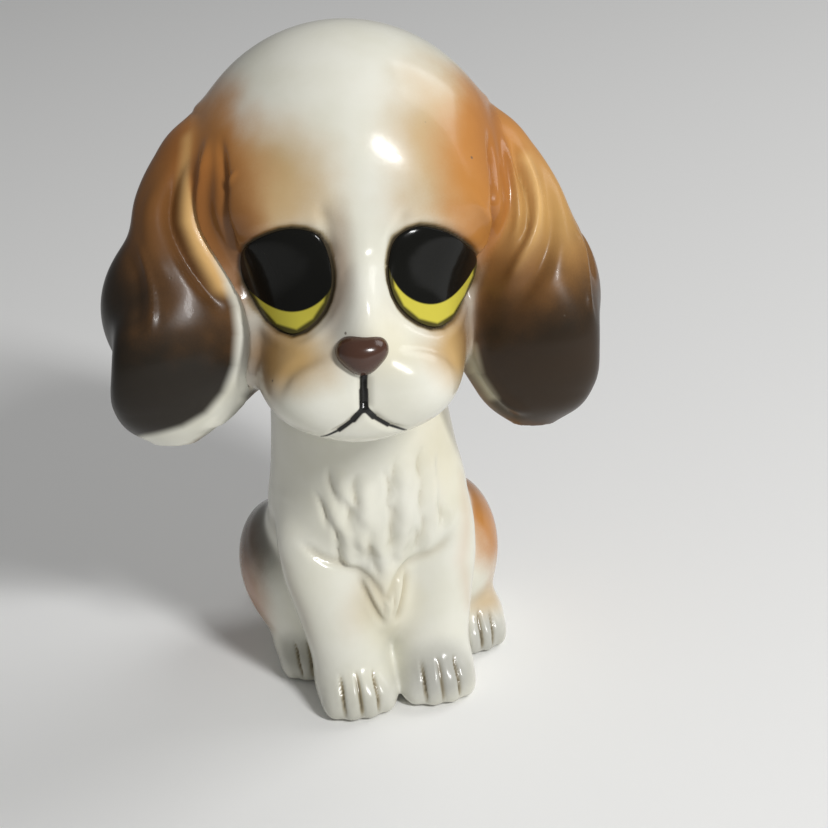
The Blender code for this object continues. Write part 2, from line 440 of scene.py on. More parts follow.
def smooth_path(points: Sequence[Sequence[float]], count: int = 24) -> np.ndarray:
    """Even points along a smooth curve.

    Args:
        points: the points that the curve passes through.
        count: how many points to return.

    Returns:
        The points in order.
    """
    knots = np.array(points, dtype=float)
    chord = np.concatenate([[0.0], np.cumsum(np.linalg.norm(np.diff(knots, axis=0), axis=1))])
    return eased(chord, knots, np.linspace(0, chord[-1], count))


def front_of(clay: Lump, spots: np.ndarray, start: float = -90.0) -> np.ndarray:
    """Find the clay that is seen from the front.

    Args:
        clay: the form.
        spots: rows of x and z in mm.
        start: where to begin along Y.

    Returns:
        Rows of x, y and z on the skin.
    """
    points = np.stack([spots[:, 0], np.full(len(spots), start), spots[:, 1]], axis=1)
    for _ in range(60):
        points[:, 1] += np.clip(clay.distance(points) * 0.7, -2.0, 6.0)
    return points


class Edge(Enum):
    """The section that a tool leaves."""

    ROUND = "round"
    SHARP = "sharp"

    def profile(self, ratio: np.ndarray) -> np.ndarray:
        """Height of the mark, from 1 in its middle to 0, at a distance over its width."""
        if self is Edge.ROUND:
            return np.exp(-(ratio * 1.5) ** 2)
        return np.clip(1 - ratio, 0, 1) ** 1.5 * np.exp(-ratio)


@dataclass(frozen=True)
class Stroke:
    """One stroke of a modelling tool over the skin.

    Attributes:
        path: points that it passes, as (x, z) seen from the front or (x, y, z), in mm.
        depth: how far it raises the clay, or lowers it if negative, in mm.
        width: how far from its middle it reaches, in mm.
        edge: its section.
        stain: how much glaze gathers in it and how much painted shade darkens it, from 0 to 1.
        fade: share of its length over which each end dies out.
    """

    path: tuple[tuple[float, ...], ...]
    depth: float
    width: float
    edge: Edge = Edge.ROUND
    stain: float = 0.0
    fade: float = 0.3

    def press(self, skin: Skin, clay: Lump, normals: np.ndarray) -> None:
        """Mark the skin.

        Args:
            skin: the skin to change.
            clay: the form under it, which the path is laid on.
            normals: outward directions of the skin.
        """
        line = smooth_path(self.path)
        line = front_of(clay, line) if line.shape[1] == 2 else clay.settle(line)
        low, high = line.min(axis=0) - 3 * self.width, line.max(axis=0) + 3 * self.width
        near = np.nonzero(((skin.points > low) & (skin.points < high)).all(axis=1))[0]
        if len(near) == 0:
            return
        spots = skin.points[near]
        away = np.full(len(near), np.inf)
        along = np.zeros(len(near))
        for index, (start, end) in enumerate(zip(line, line[1:])):
            run = end - start
            part = np.clip((spots - start) @ run / max(run @ run, 1e-9), 0, 1)
            gap = np.linalg.norm(spots - start - part[:, None] * run, axis=1)
            closer = gap < away
            away[closer] = gap[closer]
            along[closer] = (index + part[closer]) / (len(line) - 1)
        ends = np.clip(np.minimum(along, 1 - along) / max(self.fade, 1e-6), 0, 1)
        taper = ends * ends * (3 - 2 * ends)
        mark = self.edge.profile(away / self.width) * taper
        skin.points[near] += normals[near] * (mark * self.depth)[:, None]
        # glaze pooled in the mark, with painted shade in the hollow
        skin.carved[near] += mark * self.stain


def parted(skin: Skin, owners: dict[str, Lump]) -> dict[str, np.ndarray]:
    """Share the faces of a skin among pieces, by the form that lies nearest.

    Stray islands go to the piece round them, so that each piece is one patch.

    Args:
        skin: the skin.
        owners: the form of each piece.

    Returns:
        For each piece, its face numbers.
    """
    middles = skin.points[skin.quads].mean(axis=1)
    each = np.array([form.distance(middles) for form in owners.values()])
    pairs = face_pairs(skin.quads)
    count = np.bincount(pairs[:, 0], minlength=len(middles))
    for _ in range(12):
        total = np.zeros_like(each)
        for row, values in zip(total, each):
            row += np.bincount(pairs[:, 0], values[pairs[:, 1]], minlength=len(middles))
        each = each * 0.5 + total / np.maximum(count, 1) * 0.5
    nearest = each.argmin(axis=0)
    for _ in range(3):
        patch = patches(nearest, pairs)
        size = np.bincount(patch, minlength=len(patch))
        main = {int(patch[nearest == k][size[patch[nearest == k]].argmax()]) for k in set(nearest)}
        stray = ~np.isin(patch, list(main))
        border = pairs[stray[pairs[:, 0]] & (nearest[pairs[:, 0]] != nearest[pairs[:, 1]])]
        if len(border) == 0:
            break
        for island in np.unique(patch[border[:, 0]]):
            around = nearest[border[patch[border[:, 0]] == island][:, 1]]
            nearest[patch == island] = np.bincount(around).argmax()
    return {name: np.nonzero(nearest == index)[0] for index, name in enumerate(owners)}


def face_pairs(quads: np.ndarray) -> np.ndarray:
    """Neighbouring faces, both ways round.

    Args:
        quads: four corner numbers for each face.

    Returns:
        Pairs of face numbers.
    """
    turned = np.roll(quads, -1, axis=1)
    low, high = np.minimum(quads, turned).ravel(), np.maximum(quads, turned).ravel()
    face = np.repeat(np.arange(len(quads)), 4)
    order = np.lexsort((high, low))
    low, high, face = low[order], high[order], face[order]
    same = np.nonzero((low[1:] == low[:-1]) & (high[1:] == high[:-1]))[0]
    pairs = np.stack([face[same], face[same + 1]], axis=1)
    return np.concatenate([pairs, pairs[:, ::-1]])


def patches(label: np.ndarray, pairs: np.ndarray) -> np.ndarray:
    """Number the connected patches of equal labels.

    Args:
        label: a label for each face.
        pairs: neighbouring faces.

    Returns:
        For each face, the lowest face number in its patch.
    """
    same = pairs[label[pairs[:, 0]] == label[pairs[:, 1]]]
    lowest = np.arange(len(label))
    while True:
        new = lowest.copy()
        np.minimum.at(new, same[:, 0], lowest[same[:, 1]])
        new = new[new]
        if (new == lowest).all():
            return lowest
        lowest = new


def boundary_loops(quads: np.ndarray) -> Iterator[list[tuple[int, int]]]:
    """Group the open edges of some faces into loops.

    Args:
        quads: four corner numbers for each face.

    Yields:
        The directed edges of one loop.
    """
    turned = np.roll(quads, -1, axis=1)
    directed = set(zip(quads.ravel().tolist(), turned.ravel().tolist()))
    open_edges = [pair for pair in sorted(directed) if pair[::-1] not in directed]
    leader: dict[int, int] = {}

    def top(corner: int) -> int:
        """The corner that stands for a whole loop."""
        leader.setdefault(corner, corner)
        while leader[corner] != corner:
            leader[corner] = leader[leader[corner]]
            corner = leader[corner]
        return corner

    for start, end in open_edges:
        leader[top(start)] = top(end)
    loops: dict[int, list[tuple[int, int]]] = {}
    for pair in open_edges:
        loops.setdefault(top(pair[0]), []).append(pair)
    yield from loops.values()


@dataclass(frozen=True)
class Bench:
    """Turns clay coordinates in mm into the figure's place in metres.

    Attributes:
        place: where the middle of the worked part stands, in metres.
        turn: its rotation in degrees about X, Y and Z.
    """

    place: Point = (0.0, 0.0, 0.0)
    turn: Point = (0.0, 0.0, 0.0)

    def matrix(self) -> np.ndarray:
        """Rotation as a 3 by 3 array."""
        return np.array(Euler([radians(angle) for angle in self.turn]).to_matrix())

    def points(self, local: np.ndarray) -> np.ndarray:
        """Places in metres of points in mm."""
        return local @ self.matrix().T * MM + np.array(self.place)

    def directions(self, local: np.ndarray) -> np.ndarray:
        """Turn directions into the figure's own."""
        return local @ self.matrix().T


def close_up(name: str, skin: Skin, faces: np.ndarray, bench: Bench) -> bpy.types.Object:
    """Make one closed piece out of some faces of a skin.

    The open edges where the piece was parted are turned inwards and drawn together to a point.

    Args:
        name: name of the piece.
        skin: the whole skin.
        faces: the piece's face numbers.
        bench: where the skin stands.

    Returns:
        The piece.
    """
    quads = skin.quads[faces]
    used, compact = np.unique(quads, return_inverse=True)
    compact = compact.reshape(quads.shape)
    points, normals = skin.points[used], skin.normals()[used]
    fields = {"carved": skin.carved[used], "limb": skin.limb[used]}
    polygons = compact.tolist()
    for loop in boundary_loops(compact):
        rim = sorted({corner for edge in loop for corner in edge})
        tucked = {corner: len(points) + index for index, corner in enumerate(rim)}
        hub = len(points) + len(rim)
        inner = points[rim] - normals[rim] * TUCK
        points = np.vstack([points, inner, inner.mean(axis=0) - normals[rim].mean(axis=0) * 2.0])
        normals = np.vstack([normals, normals[rim], normals[rim].mean(axis=0) + 1e-6])
        fields = {key: np.concatenate([row, row[rim], [0.0]]) for key, row in fields.items()}
        for start, end in loop:
            polygons.append((end, start, tucked[start], tucked[end]))
            polygons.append((tucked[end], tucked[start], hub))
    mesh = bpy.data.meshes.new(name)
    mesh.from_pydata(bench.points(points).tolist(), [], polygons)
    mesh.shade_smooth()
    mesh.normals_split_custom_set_from_vertices(bench.directions(normals).tolist())
    for key, row in fields.items():
        mesh.attributes.new(key, "FLOAT", "POINT").data.foreach_set("value", row.astype(np.float32))
    return stand(name, mesh)


def limb_share(skin: Skin, trunk: Lump, limbs: Sequence[Lump], width: float) -> np.ndarray:
    """How far each corner of a skin lies on a limb and not on the trunk.

    Args:
        skin: the skin.
        trunk: everything that isn't a limb.
        limbs: the limbs.
        width: softness of the change, in mm.

    Returns:
        Values from 0 to 1.
    """
    limb = np.min([form.distance(skin.points) for form in limbs], axis=0)
    gap = trunk.distance(skin.points) - limb
    return 1 / (1 + np.exp(-np.clip(gap / width, -30, 30)))


# ---------------------------------------------------------------------------
# Sizes taken from the frame
# ---------------------------------------------------------------------------

HEAD_LOW, HEAD_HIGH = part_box("head_shell")
SKULL_RADII = (45.5, 43.5, 45.4)
HEAD_BENCH = Bench(
    place=(
        (HEAD_LOW[0] + HEAD_HIGH[0]) / 2,
        HEAD_HIGH[1] - SKULL_RADII[1] * MM,
        HEAD_HIGH[2] - SKULL_RADII[2] * MM,
    ),
    turn=(-10.0, 5.0, -2.0),
)
BODY_BENCH = Bench()
SENSOR_WIDTH = 36.0        # mm
FINE_STEP = 0.85


def tooled(skin: Skin, clay: Lump, strokes: Iterator[Stroke]) -> None:
    """Mark a skin with many strokes.

    Args:
        skin: the skin to change.
        clay: the form under it.
        strokes: the strokes, in order.
    """
    normals = skin.normals()
    for stroke in strokes:
        stroke.press(skin, clay, normals)


# ---------------------------------------------------------------------------
# Glazes
# ---------------------------------------------------------------------------

CREAM = (0.80, 0.79, 0.70)
WARM_CREAM = (0.78, 0.72, 0.52)
TAN = (0.53, 0.335, 0.125)
# amber of the ear ridges, bright enough to carry a painted highlight
AMBER_AND_HIGHLIGHT = (0.80, 0.50, 0.20)
ORANGE = (0.53, 0.230, 0.057)
DEEP_ORANGE = (0.38, 0.140, 0.033)
RED_BROWN = (0.20, 0.088, 0.028)
BROWN = (0.11, 0.055, 0.024)
SMOKE = (0.022, 0.017, 0.012)
GREY = (0.28, 0.28, 0.27)
INK = (0.012, 0.012, 0.011)


class Sheet:
    """Short commands for laying out shader nodes."""

    def __init__(self, tree: bpy.types.NodeTree) -> None:
        """Work on the given node tree."""
        self.tree = tree

    def add(self, kind: str, **settings: object) -> bpy.types.Node:
        """Add a node.

        Args:
            kind: name of the node's type, without "ShaderNode".
            **settings: properties to set on it.

        Returns:
            The node.
        """
        node = self.tree.nodes.new(f"ShaderNode{kind}")
        for name, value in settings.items():
            setattr(node, name, value)
        return node

    def feed(self, socket: bpy.types.NodeSocket, value: object) -> None:
        """Join a socket to another one, or set its value."""
        if isinstance(value, bpy.types.NodeSocket):
            self.tree.links.new(value, socket)
        elif isinstance(value, tuple) and socket.type == "RGBA":
            socket.default_value = (*value, 1.0)
        else:
            socket.default_value = value

    def math(self, operation: str, *values: object) -> bpy.types.NodeSocket:
        """Combine numbers.

        Args:
            operation: the Math node's operation.
            *values: numbers or sockets.

        Returns:
            The result.
        """
        node = self.add("Math", operation=operation)
        for socket, value in zip(node.inputs, values):
            self.feed(socket, value)
        return node.outputs[0]

    def vector(self, operation: str, *values: object) -> bpy.types.Node:
        """Combine vectors and return the node."""
        node = self.add("VectorMath", operation=operation)
        for socket, value in zip(node.inputs, values):
            self.feed(socket, value)
        return node

    def smooth_step(self, value: object, start: object, end: object) -> bpy.types.NodeSocket:
        """Rise softly from 0 at the start to 1 at the end."""
        node = self.add("MapRange", interpolation_type="SMOOTHSTEP")
        for name, item in (("Value", value), ("From Min", start), ("From Max", end)):
            self.feed(node.inputs[name], item)
        return node.outputs["Result"]

    def mix(self, factor: object, one: object, two: object, blend: str = "MIX") -> bpy.types.NodeSocket:
        """Mix two colours.

        Args:
            factor: share of the second colour.
            one: first colour.
            two: second colour.
            blend: the way in which they are mixed.

        Returns:
            The mixed colour.
        """
        node = self.add("Mix", data_type="RGBA", blend_type=blend)
        self.feed(node.inputs[0], factor)
        self.feed(node.inputs[6], one)
        self.feed(node.inputs[7], two)
        return node.outputs[2]

    def noise(self, place: object, scale: float, detail: float = 2.0) -> bpy.types.NodeSocket:
        """Soft random values round 0.5."""
        node = self.add("TexNoise")
        self.feed(node.inputs["Vector"], place)
        node.inputs["Scale"].default_value = scale
        node.inputs["Detail"].default_value = detail
        return node.outputs["Fac"]

    def placed(self, place: object, centre: Point, turn: Point, radii: Point) -> bpy.types.NodeSocket:
        """Measure places from a turned and stretched centre.

        Args:
            place: the places.
            centre: the new origin.
            turn: its rotation in degrees.
            radii: the lengths that count as 1 along its axes.

        Returns:
            The places as seen from there.
        """
        node = self.add("Mapping", vector_type="TEXTURE")
        self.feed(node.inputs["Vector"], place)
        node.inputs["Location"].default_value = centre
        node.inputs["Rotation"].default_value = [radians(angle) for angle in turn]
        node.inputs["Scale"].default_value = radii
        return node.outputs["Vector"]


class Effect(Enum):
    """Shader groups that several glazes share."""

    SPRAY = "spray_mask"
    BRUSH = "brush_line"
    POOL = "pooled_glaze"
    SKIN = "glaze_skin"
    DRIFT = "spray_drift"

    def group(self) -> bpy.types.NodeTree:
        """The node group, laid out when it is first asked for."""
        return bpy.data.node_groups.get(self.value) or self.lay_out()

    def lay_out(self) -> bpy.types.NodeTree:
        """Make the node group.

        Returns:
            The group.
        """
        group = bpy.data.node_groups.new(self.value, "ShaderNodeTree")
        sockets, outputs = {
            Effect.SPRAY: (("Place:Vector", "Edge", "Strength", "Drift"), ("Mask",)),
            Effect.BRUSH: (("Place:Vector", "Start:Vector", "End:Vector", "Width", "Soft"), ("Mask",)),
            Effect.POOL: (("Color:Color", "Tint:Color", "Carved"), ("Color:Color",)),
            Effect.SKIN: (("Place:Vector", "Color:Color"), ("Color:Color", "Height", "Roughness")),
            Effect.DRIFT: (("Place:Vector",), ("Drift",)),
        }[self]
        for direction, names in (("INPUT", sockets), ("OUTPUT", outputs)):
            for name in names:
                label, _, kind = name.partition(":")
                group.interface.new_socket(
                    name=label, in_out=direction, socket_type=f"NodeSocket{kind or 'Float'}"
                )
        sheet = Sheet(group)
        given = group.nodes.new("NodeGroupInput").outputs
        result = group.nodes.new("NodeGroupOutput").inputs
        getattr(self, f"draw_{self.value}")(sheet, given, result)
        return group

    def draw_spray_mask(self, sheet: Sheet, given: object, result: object) -> None:
        """A round soft cloud of pigment."""
        reach = sheet.math("ADD", sheet.vector("LENGTH", given["Place"]).outputs["Value"], given["Drift"])
        outer = sheet.math("ADD", 1.0, given["Edge"])
        inner = sheet.math("SUBTRACT", 1.0, given["Edge"])
        cloud = sheet.smooth_step(reach, outer, inner)
        sheet.feed(result["Mask"], sheet.math("MULTIPLY", cloud, given["Strength"]))

    def draw_brush_line(self, sheet: Sheet, given: object, result: object) -> None:
        """A straight line of paint from one place to another."""
        run = sheet.vector("SUBTRACT", given["End"], given["Start"]).outputs[0]
        away = sheet.vector("SUBTRACT", given["Place"], given["Start"]).outputs[0]
        along = sheet.vector("DOT_PRODUCT", away, run).outputs["Value"]
        whole = sheet.vector("DOT_PRODUCT", run, run).outputs["Value"]
        part = sheet.math("DIVIDE", along, whole)
        part.node.use_clamp = True
        foot = sheet.vector("SCALE", run).outputs[0]
        sheet.feed(foot.node.inputs["Scale"], part)
        gap = sheet.vector("DISTANCE", away, foot).outputs["Value"]
        outer = sheet.math("ADD", given["Width"], given["Soft"])
        inner = sheet.math("SUBTRACT", given["Width"], given["Soft"])
        sheet.feed(result["Mask"], sheet.smooth_step(gap, outer, inner))

    def draw_pooled_glaze(self, sheet: Sheet, given: object, result: object) -> None:
        """Glaze that lies thicker and darker in the hollows, with painted shade that turns the deepest marks
        near black.
        """
        depth = sheet.smooth_step(given["Carved"], 0.0, 1.1)
        thick = sheet.mix(1.0, given["Color"], given["Tint"], "MULTIPLY")
        pooled = sheet.mix(depth, given["Color"], thick)
        deep = sheet.smooth_step(given["Carved"], 0.7, 2.2)
        # painted shade: the deepest marks turn near black brown
        sheet.feed(result["Color"], sheet.mix(deep, pooled, (0.065, 0.050, 0.030)))

    def draw_glaze_skin(self, sheet: Sheet, given: object, result: object) -> None:
        """Fine waves in the glaze, pinholes and small specks."""
        wave = sheet.noise(given["Place"], 0.08, 1.0)
        ripple = sheet.noise(given["Place"], 0.55, 2.0)
        cells = sheet.add("TexVoronoi", feature="F1")
        sheet.feed(cells.inputs["Vector"], given["Place"])
        cells.inputs["Scale"].default_value = 0.16
        chance = sheet.add("SeparateColor")
        sheet.feed(chance.inputs[0], cells.outputs["Color"])
        near = sheet.smooth_step(cells.outputs["Distance"], 0.085, 0.045)
        rare = sheet.math("GREATER_THAN", chance.outputs[0], 0.90)
        hole = sheet.math("MULTIPLY", near, rare)
        dark = sheet.mix(sheet.math("MULTIPLY", hole, 0.75), given["Color"], (0.10, 0.075, 0.05))
        cloud = sheet.noise(given["Place"], 0.05, 3.0)
        tone = sheet.smooth_step(cloud, 0.30, 0.70)
        shade = sheet.mix(tone, (0.93, 0.925, 0.89), (1.0, 1.0, 1.0))
        sheet.feed(result["Color"], sheet.mix(1.0, dark, shade, "MULTIPLY"))
        height = sheet.math("ADD", wave, sheet.math("MULTIPLY", ripple, 0.25))
        sheet.feed(result["Height"], sheet.math("SUBTRACT", height, sheet.math("MULTIPLY", hole, 0.5)))
        rough = sheet.math("MULTIPLY", ripple, 0.08)
        sheet.feed(result["Roughness"], sheet.math("ADD", rough, sheet.math("MULTIPLY_ADD", hole, 0.3, 0.17)))

    def draw_spray_drift(self, sheet: Sheet, given: object, result: object) -> None:
        """Uneven edges of a cloud of pigment, with a fine speckle."""
        broad = sheet.math("SUBTRACT", sheet.noise(given["Place"], 0.07, 2.0), 0.5)
        fine = sheet.math("SUBTRACT", sheet.noise(given["Place"], 1.6, 1.0), 0.5)
        total = sheet.math("ADD", sheet.math("MULTIPLY", broad, 0.5), sheet.math("MULTIPLY", fine, 0.06))
        sheet.feed(result["Drift"], total)

    def use(self, sheet: Sheet, **values: object) -> bpy.types.Node:
        """Add the group to a sheet.

        Args:
            sheet: the sheet to add it to.
            **values: values or sockets for its inputs.

        Returns:
            The group node.
        """
        node = sheet.add("Group")
        node.node_tree = self.group()
        for name, value in values.items():
            sheet.feed(node.inputs[name], value)
        return node


@dataclass(frozen=True)
class Spray:
    """One pass of the airbrush.

    Attributes:
        colour: the pigment.
        centre: middle of the cloud in mm.
        radii: its half axes in mm.
        edge: softness of its edge, as a share of its size.
        strength: how well it covers.
        turn: its rotation in degrees.
        masked: whether its edge is cut clean.
    """

    colour: Colour
    centre: Point
    radii: Point
    edge: float = 0.5
    strength: float = 1.0
    turn: Point = (0.0, 0.0, 0.0)
    masked: bool = False

    def lay(self, sheet: Sheet, colour: object, place: object, drift: object) -> bpy.types.NodeSocket:
        """Spray over a colour.

        Args:
            sheet: where the nodes go.
            colour: the colour so far.
            place: places in mm.
            drift: unevenness of the edge.

        Returns:
            The new colour.
        """
        spot = sheet.placed(place, self.centre, self.turn, self.radii)
        stray = 0.0 if self.masked else drift
        mask = Effect.SPRAY.use(
            sheet, Place=spot, Edge=self.edge, Strength=self.strength, Drift=stray
        ).outputs["Mask"]
        return sheet.mix(mask, colour, self.colour)


@dataclass(frozen=True)
class Line:
    """One pass of a brush through several places.

    Attributes:
        colour: the pigment.
        path: places in mm.
        widths: half width at the start and at the end, in mm.
        soft: softness of its edge, in mm.
        strength: how well it covers.
        facing: whether it is drawn straight on from the front, whatever the depth.
    """

    colour: Colour
    path: tuple[Point, ...]
    widths: tuple[float, float]
    soft: float = 0.25
    strength: float = 1.0
    facing: bool = False

    def lay(self, sheet: Sheet, colour: object, place: object, drift: object) -> bpy.types.NodeSocket:
        """Paint over a colour.

        Args:
            sheet: where the nodes go.
            colour: the colour so far.
            place: places in mm.
            drift: unevenness of the edge.

        Returns:
            The new colour.
        """
        mask: object = 0.0
        cover: object = self.strength
        last = len(self.path) - 2
        if self.facing:
            split = sheet.add("SeparateXYZ")
            sheet.feed(split.inputs[0], place)
            ahead = sheet.smooth_step(split.outputs["Y"], -6.0, -10.0)
            cover = sheet.math("MULTIPLY", ahead, self.strength)
            place = sheet.vector("MULTIPLY", place, (1.0, 0.0, 1.0)).outputs[0]
        for index, (start, end) in enumerate(zip(self.path, self.path[1:])):
            part = index / max(last, 1)
            width = self.widths[0] * (1 - part) + self.widths[1] * part
            stroke = Effect.BRUSH.use(
                sheet, Place=place, Start=start, End=end, Width=width, Soft=self.soft
            ).outputs["Mask"]
            mask = sheet.math("MAXIMUM", mask, stroke)
        return sheet.mix(sheet.math("MULTIPLY", mask, cover), colour, self.colour)


@dataclass(frozen=True)
class Glaze:
    """A fired glaze.

    Attributes:
        name: name of the material.
        base: colour under the sprayed pigment.
        passes: what is sprayed and painted on it, in order.
        limb_passes: what is then sprayed on the limbs alone.
        pool: tint of the glaze that gathers in hollows.
        bench: where the glazed part stands.
        roughness: added to the roughness of the glaze.
        coat: weight of the clear coat.
        sheen_level: strength of the mirror light of the glaze itself.
        foot: whether the standing surface is left bare.
    """

    name: str
    base: Colour
    passes: tuple[Spray | Line, ...] = ()
    limb_passes: tuple[Spray | Line, ...] = ()
    # pool: tint of the glaze that gathers in hollows, which also paints shade into them.
    pool: Colour = (0.55, 0.48, 0.36)
    bench: Bench = BODY_BENCH
    roughness: float = 0.0
    coat: float = 0.12
    sheen_level: float = 0.30
    foot: bool = False

    def material(self) -> bpy.types.Material:
        """Mix the glaze, or take it from the shelf if it is already there.

        Returns:
            The material.
        """
        found = bpy.data.materials.get(self.name)
        if found:
            return found
        material = bpy.data.materials.new(self.name)
        material.use_nodes = True
        sheet = Sheet(material.node_tree)
        shader = material.node_tree.nodes["Principled BSDF"]
        place = sheet.placed(
            sheet.add("TexCoord").outputs["Object"], self.bench.place, self.bench.turn, (MM, MM, MM)
        )
        drift = Effect.DRIFT.use(sheet, Place=place).outputs["Drift"]
        colour: object = self.base
        for item in self.passes:
            colour = item.lay(sheet, colour, place, drift)
        if self.limb_passes:
            limb_colour = colour
            for item in self.limb_passes:
                limb_colour = item.lay(sheet, limb_colour, place, drift)
            share = sheet.add("Attribute", attribute_type="GEOMETRY", attribute_name="limb")
            colour = sheet.mix(share.outputs["Fac"], colour, limb_colour)
        # pooled glaze and painted shade from the tools' marks
        carved = sheet.add("Attribute", attribute_type="GEOMETRY", attribute_name="carved")
        pooled = Effect.POOL.use(sheet, Color=colour, Tint=self.pool, Carved=carved.outputs["Fac"])
        skin = Effect.SKIN.use(sheet, Place=place, Color=pooled.outputs["Color"])
        colour = skin.outputs["Color"]
        rough = sheet.math("ADD", skin.outputs["Roughness"], self.roughness)
        coat: object = self.coat
        if self.foot:
            split = sheet.add("SeparateXYZ")
            sheet.feed(split.inputs[0], place)
            bare = sheet.smooth_step(split.outputs["Z"], 0.6, 0.2)
            grain = sheet.noise(place, 0.9, 4.0)
            clay = sheet.mix(grain, (0.62, 0.58, 0.50), (0.80, 0.77, 0.69))
            colour = sheet.mix(bare, colour, clay)
            rough = sheet.math("MAXIMUM", rough, sheet.math("MULTIPLY", bare, 0.85))
            coat = sheet.math("MULTIPLY_ADD", bare, -self.coat, self.coat)
        sheet.feed(shader.inputs["Base Color"], colour)
        sheet.feed(shader.inputs["Roughness"], rough)
        sheet.feed(shader.inputs["Coat Weight"], coat)
        shader.inputs["Coat Roughness"].default_value = 0.05
        shader.inputs["Coat IOR"].default_value = 1.5
        shader.inputs["IOR"].default_value = 1.5
        shader.inputs["Specular IOR Level"].default_value = self.sheen_level
        bump = sheet.add("Bump")
        bump.inputs["Strength"].default_value = 0.14
        bump.inputs["Distance"].default_value = 0.0006
        sheet.feed(bump.inputs["Height"], skin.outputs["Height"])
        sheet.feed(shader.inputs["Normal"], bump.outputs["Normal"])
        return material


def finish_piece(piece: bpy.types.Object, node: str, slot: Slot, glaze: Glaze) -> bpy.types.Object:
    """Glaze a piece, tie it to the frame and report it.

    Args:
        piece: the finished piece.
        node: the node that it stands for.
        slot: the record's material slot; not used.
        glaze: its glaze.

    Returns:
        The piece.
    """
    piece.data.materials.append(glaze.material())
    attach(piece, "root")
    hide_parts(node)
    LOG.info("%s: %d faces, %s", piece.name, len(piece.data.polygons), glaze.name)
    return piece


# ---------------------------------------------------------------------------
# Body
# ---------------------------------------------------------------------------

